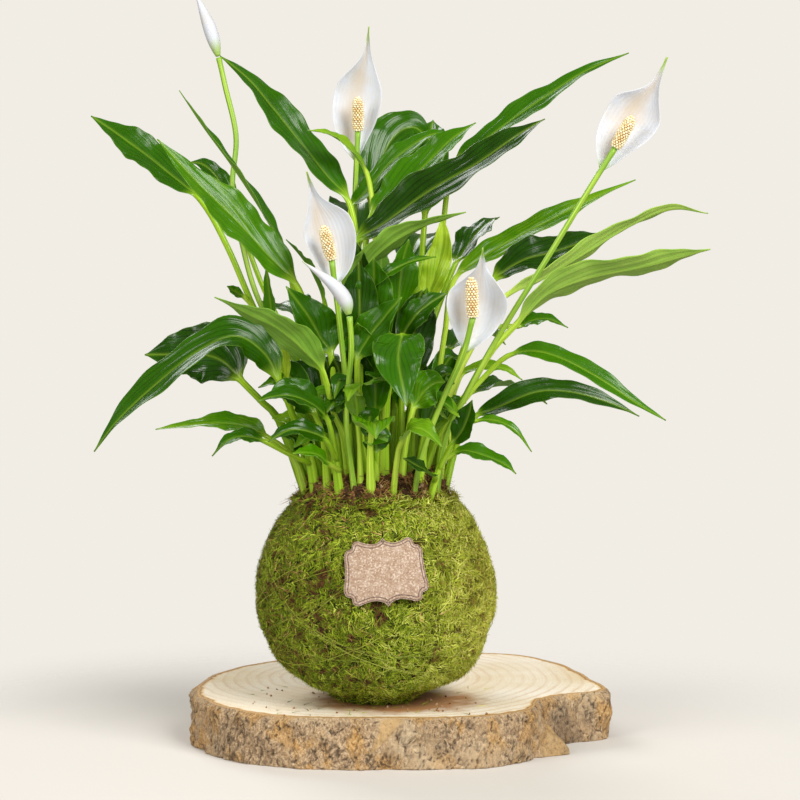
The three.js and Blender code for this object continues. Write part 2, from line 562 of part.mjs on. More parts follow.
// Every leaf of the plant, by the shoot that it grows from. A shoot's first leaf stands in the
// soil at its root, and its other leaves leave the first one's stem.
const SHOOTS = {
  leaf_left_high: {
    root: [-38, 9],
    leaves: [
      blade(27, 4, [3, -6, 6], [2, -7, 5], [[-54, 16, 225], [-77, 20, 275], [-93, 28, 311],
        [-110, 34, 340], [-136, 40, 363], [-158, 45, 379], [-180, 50, 393]]),
      blade(7, 1, [4, -6, 3], [4, -6, 3], [[-76, 20, 273], [-82, 17, 280], [-88, 14, 284],
        [-92, 12, 287]]),
      blade(10, 1, [-6, -6, 1], [-6, -6, 1], [[-59, 17, 236], [-63, 13, 255], [-66, 11, 279],
        [-68, 9, 300]]),
    ],
  },
  leaf_left_glossy: {
    root: [-22, -3],
    leaves: [
      blade(31, 3, [4, -6, 6], [3, -7, 5], [[-28, -7, 208], [-36, -9, 251], [-47, -10, 286],
        [-67, -12, 310], [-86, -14, 331], [-108, -16, 352], [-132, -18, 377]]),
      blade(14, 1, [7, 1, 6], [7, 1, 6], [[-33, -8, 236], [-31, 0, 275], [-37, 2, 295], [-45, 3, 306],
        [-55, 4, 316]]),
    ],
  },
  leaf_left_slender: {
    root: [-34, 19],
    leaves: [
      blade(16, 3, [7, -2, 6], [7, 1, 6], [[-40, 21, 223], [-49, 22, 268], [-56, 24, 306],
        [-67, 27, 329], [-88, 33, 361], [-108, 40, 387], [-124, 50, 409]]),
    ],
  },
  leaf_left_curled: {
    root: [-28, 30],
    leaves: [
      blade(15, 3, [3, -6, 5], [-1, -6, 6], [[-46, 40, 228], [-72, 50, 285], [-84, 58, 316],
        [-94, 66, 341], [-102, 69, 355], [-111, 71, 363], [-121, 73, 364]]),
      blade(26, 2, [1, -3, 8], [-4, 2, 7], [[-31, 31, 188], [-50, 52, 215], [-62, 68, 231],
        [-76, 82, 243], [-90, 96, 243], [-104, 110, 229]]),
    ],
  },
  leaf_tall: {
    root: [-12, 29],
    leaves: [
      blade(27, 3, [5, -6, 5], [4, -6, 5], [[-9, 35, 228], [-10, 41, 288], [-16, 46, 335],
        [-32, 52, 358], [-48, 58, 378], [-65, 64, 399], [-81, 70, 417], [-100, 75, 432]]),
    ],
  },
  leaf_hooked: {
    root: [0, 21],
    leaves: [
      blade(11, 4, [8, -2, 3], [1, -3, 8], [[0, 33, 233], [0, 42, 293], [-2, 47, 333],
        [-6, 47, 357], [-16, 45, 373], [-29, 43, 382], [-43, 43, 384]]),
    ],
  },
  leaf_top_broad: {
    root: [10, 28],
    leaves: [
      blade(35, 3, [1, -8, 2], [-2, -7, 5], [[10, 42, 228], [4, 60, 293], [-3, 80, 334],
        [1, 92, 361], [11, 102, 382], [24, 108, 388], [36, 114, 378]]),
    ],
  },
  leaf_top_curled: {
    root: [0, 32],
    leaves: [
      blade(18, 3, [-5, -5, 6], [-2, -6, 7], [[-1, 44, 228], [-10, 55, 288], [-17, 62, 330],
        [-7, 64, 346], [6, 66, 362], [19, 67, 373], [35, 68, 382], [51, 70, 381]]),
    ],
  },
  leaf_top_behind: {
    root: [24, 30],
    leaves: [
      blade(27, 3, [0, -8, 4], [0, -4, 8], [[25, 48, 228], [28, 72, 288], [31, 92, 328],
        [33, 110, 361], [35, 124, 383], [37, 140, 393]]),
      blade(26, 2, [-4, -4, 7], [-1, 0, 9], [[25, 49, 231], [40, 62, 273], [50, 72, 298],
        [60, 82, 315], [70, 92, 325], [80, 104, 329]]),
    ],
  },
  leaf_right_upright: {
    root: [-3, 11],
    leaves: [
      blade(30, 3, [-5, -6, 5], [-4, -6, 6], [[-5, 22, 228], [-7, 29, 288], [-4, 33, 327],
        [12, 40, 346], [31, 47, 364], [46, 52, 378], [63, 57, 389]]),
    ],
  },
  leaf_right_dark: {
    root: [-12, 5],
    leaves: [
      blade(33, 3, [-5, -6, 5], [-4, -6, 6], [[-15, 8, 223], [-19, 11, 273], [-14, 14, 311],
        [6, 13, 328], [34, 17, 348], [62, 24, 364], [88, 34, 381], [106, 43, 391]]),
    ],
  },
  leaf_right_high: {
    root: [30, 20],
    leaves: [
      blade(20, 4, [-5, -6, 5], [-3, -6, 6], [[29, 34, 225], [35, 40, 281], [42, 48, 323], [48, 56, 359],
        [65, 62, 376], [86, 69, 392], [108, 76, 407], [134, 85, 423], [163, 95, 435]]),
    ],
  },
  leaf_centre_olive: {
    root: [-4, -6],
    leaves: [
      blade(25, 3, [-3, 5, 7], [-2, 4, 8], [[-7, -7, 208], [-15, -6, 251], [-18, -4, 280],
        [-10, -6, 297], [6, -8, 313], [28, -10, 325], [55, -16, 333]]),
      blade(10, 1, [-6, -5, 5], [-4, -6, 6], [[-9, -7, 218], [-6, -16, 280], [4, -19, 293], [12, -20, 299],
        [24, -21, 304], [37, -22, 306]]),
    ],
  },
  leaf_centre_upright: {
    root: [15, 10],
    leaves: [
      blade(17, 2, [-2, -8, 1], [-2, -8, 1], [[22, 10, 218], [30, 9, 271], [36, 8, 293], [41, 8, 313],
        [41, 8, 331]]),
    ],
  },
  leaf_centre_slim: {
    root: [10, -4],
    leaves: [
      blade(13, 2, [-3, -8, 1], [-3, -8, 1], [[11, -2, 208], [13, -2, 251], [17, -2, 271], [21, -2, 287],
        [24, -2, 303]]),
    ],
  },
  leaf_centre_short: {
    root: [15, -15],
    leaves: [
      blade(18, 2, [-3, -7, 4], [-3, -7, 4], [[16, -14, 218], [16, -16, 253], [23, -18, 269],
        [33, -19, 278], [44, -20, 284]]),
    ],
  },
  leaf_right_second: {
    root: [29, 9],
    leaves: [
      blade(19, 3, [-4, -6, 5], [-2, -6, 7], [[37, 14, 218], [43, 18, 258], [48, 22, 289],
        [65, 29, 304], [87, 37, 317], [113, 45, 330], [136, 53, 341], [165, 62, 353]]),
    ],
  },
  leaf_right_third: {
    root: [38, 6],
    leaves: [
      blade(27, 3, [-4, -7, 5], [-2, -6, 7], [[46, 8, 218], [58, 10, 258], [71, 11, 288],
        [89, 13, 303], [110, 16, 309], [129, 20, 315], [144, 24, 320]]),
      blade(14, 2, [-1, -4, 8], [2, -4, 8], [[57, 10, 255], [72, 22, 261], [89, 30, 261], [97, 32, 265],
        [108, 34, 266], [121, 36, 260]]),
    ],
  },
  leaf_right_wavy: {
    root: [30, -2],
    leaves: [
      blade(19, 3, [-2, 5, 7], [1, 3, 8], [[44, -3, 216], [61, -4, 253], [77, -3, 279],
        [104, 1, 294], [129, 5, 309], [156, 9, 325], [182, 13, 335], [206, 16, 332]]),
    ],
  },
  leaf_right_long: {
    root: [37, -11],
    leaves: [
      blade(26, 4, [-3, 5, 6], [-1, 5, 7], [[43, -12, 198], [55, -14, 220], [70, -18, 247], [85, -20, 264],
        [103, -24, 284], [130, -28, 295], [160, -33, 301], [184, -37, 307], [201, -40, 311]]),
    ],
  },
  leaf_right_arching: {
    root: [27, -13],
    leaves: [
      blade(15, 4, [-4, -5, 8], [4, -6, 5], [[36, -17, 191], [56, -22, 221], [69, -26, 236],
        [80, -30, 246], [95, -34, 250], [112, -38, 246], [135, -43, 234], [157, -48, 219],
        [174, -52, 209]]),
      blade(8, 1, [-2, -5, 8], [5, -4, 6], [[40, -18, 198], [60, -24, 206], [73, -27, 207], [85, -29, 201],
        [95, -31, 188]]),
    ],
  },
  leaf_right_level: {
    root: [40, -3],
    leaves: [
      blade(19, 2, [-2, -6, 7], [3, -6, 6], [[50, 1, 190], [61, 4, 206], [74, 6, 212], [99, 9, 222],
        [121, 10, 222], [145, 11, 215], [164, 12, 206]]),
      blade(11, 2, [-3, -5, 8], [3, -4, 8], [[47, 0, 179], [46, 1, 206], [52, 4, 231], [66, 5, 238],
        [80, 6, 236], [91, 7, 229]]),
    ],
  },
  leaf_right_low: {
    root: [31, -27],
    leaves: [
      blade(15, 2, [-1, -4, 8], [4, -4, 7], [[39, -32, 179], [47, -36, 187], [55, -38, 190],
        [67, -40, 187], [78, -42, 182], [85, -44, 176]]),
      blade(16, 1, [-5, -7, 2], [-5, -7, 2], [[38, -31, 176], [46, -41, 193], [52, -46, 203],
        [56, -49, 213], [58, -51, 221]]),
      blade(14, 1, [3, -1, 8], [-2, -7, 4], [[36, -30, 170], [36, -43, 175], [28, -52, 181],
        [17, -59, 187]]),
    ],
  },
  leaf_front_right: {
    root: [10, -38],
    leaves: [
      blade(19, 2, [-2, -3, 8], [3, -5, 6], [[13, -48, 184], [16, -58, 197], [21, -65, 206],
        [30, -70, 205], [40, -74, 195]]),
    ],
  },
  leaf_front_olive: {
    root: [15, -26],
    leaves: [
      blade(24, 3, [-3, -7, 3], [-1, -8, 3], [[17, -32, 183], [20, -38, 201], [23, -43, 215],
        [28, -46, 225], [35, -48, 231], [42, -50, 232]]),
    ],
  },
  leaf_front_bright: {
    root: [5, -27],
    leaves: [
      blade(31, 3, [-1, -5, 8], [1, -8, 2], [[6, -30, 208], [11, -38, 245], [16, -48, 259], [15, -60, 257],
        [14, -72, 248], [16, -82, 235], [19, -88, 220]]),
    ],
  },
  leaf_front_glossy: {
    root: [-5, -22],
    leaves: [
      blade(24, 2, [-4, -7, 3], [-3, -7, 3], [[-9, -25, 198], [-11, -28, 241], [-5, -31, 257],
        [5, -34, 270], [16, -37, 282]]),
    ],
  },
  leaf_front_drooping: {
    root: [-2, -40],
    leaves: [
      blade(26, 2, [0, 5, 6], [0, -3, 8], [[-3, -45, 187], [-2, -53, 201], [-1, -65, 210], [0, -79, 210],
        [1, -94, 202]]),
    ],
  },
  leaf_front_long: {
    root: [-14, -26],
    leaves: [
      blade(23, 3, [-2, 5, 8], [-2, 3, 9], [[-19, -30, 196], [-25, -36, 212], [-31, -46, 237],
        [-41, -54, 251], [-56, -64, 265], [-73, -74, 274], [-93, -85, 284]]),
    ],
  },
  leaf_left_broad: {
    root: [-21, -14],
    leaves: [
      blade(30, 2, [2, -9, 3], [2, -9, 3], [[-24, -16, 208], [-27, -17, 245], [-33, -19, 257],
        [-41, -21, 271], [-54, -24, 288]]),
    ],
  },
  leaf_left_drooping: {
    root: [-35, -20],
    leaves: [
      blade(29, 3, [-2, -5, 7], [-5, -5, 4], [[-41, -24, 189], [-49, -27, 207], [-57, -30, 228],
        [-67, -34, 249], [-84, -40, 260], [-107, -48, 251], [-133, -56, 230], [-153, -64, 210],
        [-166, -70, 192]]),
      blade(13, 2, [0, -5, 8], [-5, -4, 6], [[-38, -22, 179], [-52, -36, 187], [-66, -41, 195],
        [-77, -43, 199], [-88, -45, 197], [-98, -47, 187]]),
    ],
  },
  leaf_left_wide: {
    root: [-40, 0],
    leaves: [
      blade(39, 3, [-1, -8, 4], [-1, -8, 4], [[-58, 2, 201], [-71, 5, 216], [-83, 8, 228],
        [-95, 10, 241], [-111, 12, 246], [-128, 14, 245], [-144, 16, 244]]),
    ],
  },
  leaf_left_young: {
    root: [-30, -8],
    leaves: [
      blade(16, 2, [-4, -6, 3], [2, -7, 4], [[-40, -10, 193], [-54, -12, 225], [-60, -12, 243],
        [-67, -12, 257], [-79, -12, 266]]),
    ],
  },
  leaf_left_facing: {
    root: [-28, -28],
    leaves: [
      blade(22, 2, [-1, -6, 6], [-2, -7, 4], [[-31, -33, 193], [-36, -38, 211], [-44, -42, 222],
        [-54, -46, 226], [-65, -50, 222]]),
    ],
  },
  leaf_left_shoot: {
    root: [-20, -35],
    leaves: [
      blade(17, 2, [-1, -5, 7], [-4, -5, 6], [[-25, -41, 191], [-28, -48, 208], [-36, -55, 219],
        [-48, -62, 225], [-60, -68, 225], [-69, -74, 222]]),
      blade(15, 1, [-1, -6, 6], [-4, -6, 5], [[-23, -39, 183], [-29, -54, 197], [-37, -60, 203],
        [-50, -66, 205], [-63, -71, 198]]),
      blade(13, 1, [0, -6, 6], [-3, -6, 5], [[-21, -37, 177], [-27, -57, 183], [-33, -66, 190],
        [-40, -73, 192], [-48, -80, 192]]),
    ],
  },
  leaf_left_low: {
    root: [-40, -10],
    leaves: [
      blade(18, 2, [-1, -5, 7], [-3, -4, 8], [[-50, -12, 182], [-66, -13, 195], [-77, -14, 202],
        [-92, -16, 205], [-111, -18, 204], [-134, -22, 201]]),
    ],
  },
  leaf_back_left: {
    root: [-4, 41],
    leaves: [
      blade(33, 3, [1, -5, 8], [0, 2, 9], [[-6, 55, 218], [-9, 75, 265], [-12, 98, 308],
        [-15, 122, 333], [-19, 146, 338], [-24, 168, 328]]),
      blade(29, 3, [1, -4, 8], [-3, 3, 8], [[-5, 46, 188], [-20, 68, 218], [-32, 84, 243],
        [-42, 96, 259], [-55, 112, 271], [-68, 130, 271], [-80, 148, 258]]),
    ],
  },
  leaf_back_right: {
    root: [7, 40],
    leaves: [
      blade(32, 3, [-1, -5, 8], [1, 3, 9], [[9, 55, 215], [14, 76, 258], [20, 98, 295],
        [26, 122, 315], [33, 148, 317], [40, 172, 303]]),
      blade(28, 3, [-2, -4, 8], [3, 3, 8], [[8, 45, 188], [22, 62, 208], [33, 76, 225],
        [45, 90, 241], [58, 108, 253], [72, 128, 255], [86, 148, 243]]),
    ],
  },
  leaf_back_low: {
    root: [15, 36],
    leaves: [
      blade(27, 2, [-1, -4, 8], [1, 4, 8], [[20, 56, 189], [26, 80, 206], [30, 104, 215],
        [34, 130, 212], [38, 156, 195]]),
      blade(27, 2, [-3, -3, 8], [3, 3, 8], [[18, 47, 174], [38, 57, 199], [58, 68, 215],
        [77, 81, 222], [95, 94, 219], [112, 108, 206]]),
    ],
  },
};

// The blooms, from the foot of the stalk to the point where the spadix starts
const BLOOMS = {
  bloom_top: {
    root: [-14, 38], stalk: [[-13, 50, 218], [-14, 66, 283], [-14, 74, 338], [-12, 76, 384]],
    spathe: {
      width: 31, cup: 0.5, face: [0, -9, 1],
      path: [[-13, 78, 365], [-15, 85, 383], [-12, 89, 405], [-7, 86, 428], [-5, 82, 451]],
    },
    spadix: [-12, 74, 405],
  },
  bloom_right: {
    root: [36, -20], stalk: [[42, -25, 193], [54, -30, 221], [69, -35, 249], [86, -40, 278],
      [104, -43, 307], [128, -45, 347], [143, -45, 371]],
    spathe: {
      width: 33, cup: 0.5, face: [-2, -9, 1],
      path: [[135, -42, 358], [144, -35, 373], [156, -31, 389], [166, -34, 405], [174, -40, 425]],
    },
    spadix: [153, -46, 389],
  },
  bloom_left: {
    root: [-12, -16], stalk: [[-16, -23, 208], [-21, -30, 261], [-26, -35, 304]],
    spathe: {
      width: 31, cup: 0.55, face: [1, -9, 1],
      path: [[-25, -30, 287], [-25, -24, 303], [-29, -21, 321], [-36, -24, 339], [-41, -30, 357]],
    },
    spadix: [-31, -37, 324],
  },
  bloom_front: {
    root: [22, -33], stalk: [[28, -39, 186], [40, -50, 220], [52, -60, 248], [58, -66, 271]],
    spathe: {
      width: 36, cup: 0.45, face: [0, -9, 1],
      path: [[54, -57, 250], [58, -54, 265], [61, -53, 281], [63, -57, 297], [64, -61, 312]],
    },
    spadix: [57, -68, 294],
  },
};

const CLOSED_BLOOMS = {
  bloom_closed: {
    root: [-11, -37], stalk: [[-17, -44, 203], [-16, -46, 227], [-14, -51, 251], [-15, -54, 271]],
    bud: { width: 9, path: [[-15.4, -54, 272.2], [-18, -54, 281], [-26, -55, 291], [-43, -56, 304]] },
  },
  bloom_bud: {
    root: [-24, 21], stalk: [[-40, 26, 218], [-72, 35, 273], [-85, 44, 314], [-91, 51, 348],
      [-89, 57, 380], [-96, 61, 412], [-100, 62, 430]],
    bud: { width: 8.5, path: [[-100.4, 62, 431], [-104, 63, 443], [-109, 64, 457], [-115, 66, 471]] },
  },
};

const foot = ([x, y]) => [x, y, soilHeight(x, y) - ROOT_DEPTH];
for (const { root, leaves } of Object.values(SHOOTS)) {
  leaves[0].path.unshift(foot(root));
}
const stalkCurves = Object.entries({ ...BLOOMS, ...CLOSED_BLOOMS }).map(([name, bloom]) => [
  name, pathCurve([foot(bloom.root), ...bloom.stalk]),
]);

function soilCore() {
  let soil = toSolid(soilBall());
  for (const { leaves } of Object.values(SHOOTS)) {
    soil = soil.subtract(toSolid(leafHole(leaves[0])));
  }
  for (const [, curve] of stalkCurves) {
    soil = soil.subtract(toSolid(stalkHole(curve)));
  }
  return toGeometry(soil);
}

const plant = new THREE.Group();
function add(name, geometry, material) {
  const mesh = new THREE.Mesh(geometry, material);
  mesh.name = name;
  plant.add(mesh);
}

add("wood_slice", woodSlice(), WOOD);
add("moss_wrap", mossWrap(), MOSS);
add("soil_core", soilCore(), SOIL);
add("binding_thread", bindingThread(), THREAD);
add("label", label(), KRAFT);
for (const [name, { leaves }] of Object.entries(SHOOTS)) {
  add(name, leaves.length > 1 ? fused(leaves.map(leafBody)) : leafBody(leaves[0]), LEAF);
}
for (const [name, curve] of stalkCurves) {
  add(`${name}_stalk`, stalkBody(curve), STALK);
}
for (const [name, { stalk, spathe, spadix }] of Object.entries(BLOOMS)) {
  const end = vector(stalk.at(-1));
  const tip = vector(spadix);
  const start = end.clone().addScaledVector(tip.clone().sub(end).normalize(), GAP * 3);
  add(`${name}_spathe`, spatheBody(spathe), SPATHE);
  add(`${name}_spadix`, spadixBody(start, tip), SPADIX);
}
for (const [name, { bud }] of Object.entries(CLOSED_BLOOMS)) {
  add(`${name}_spathe`, budBody(bud.path, bud.width), SPATHE);
}

export default plant;
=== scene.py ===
"""Kokedama: a peace lily in a ball of moss, on a slice of a tree trunk with its bark on.

Metres in the scene, millimetres in the tables. +Z up, +X to the right, -Y to the front.
"""
import math
import random

import bpy
import numpy as np
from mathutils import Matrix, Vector, noise


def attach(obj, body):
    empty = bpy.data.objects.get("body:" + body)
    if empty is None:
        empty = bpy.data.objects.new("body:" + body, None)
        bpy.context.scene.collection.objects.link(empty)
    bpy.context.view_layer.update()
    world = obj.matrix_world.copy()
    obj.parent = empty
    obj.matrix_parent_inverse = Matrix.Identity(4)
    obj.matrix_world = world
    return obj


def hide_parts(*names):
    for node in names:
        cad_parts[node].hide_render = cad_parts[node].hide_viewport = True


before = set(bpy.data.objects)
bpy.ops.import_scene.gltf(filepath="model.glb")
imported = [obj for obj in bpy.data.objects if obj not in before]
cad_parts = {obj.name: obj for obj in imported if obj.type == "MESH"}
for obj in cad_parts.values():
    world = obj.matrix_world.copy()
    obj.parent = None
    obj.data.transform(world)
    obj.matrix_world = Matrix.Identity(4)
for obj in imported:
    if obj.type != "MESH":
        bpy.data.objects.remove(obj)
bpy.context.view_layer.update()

MM = 0.001
TAU = 2 * math.pi

# The sizes that the solids have, in millimetres
GAP = 0.3
SLICE_THICKNESS = 31
BALL_RADIUS = 75
BALL_TOP = 78
BALL_BOTTOM = 65.5
FOOT_RADIUS = 24
OPENING_RADIUS = 45.5
OPENING_LATITUDE = 50
SOIL_CROWN = 13
ROOT_DEPTH = 10
STALK_RADIUS = 1.7
SPADIX_RADIUS = 3.2
BALL_CENTRE = SLICE_THICKNESS + BALL_BOTTOM
OPENING_HEIGHT = BALL_CENTRE + BALL_TOP * math.sin(math.radians(OPENING_LATITUDE))

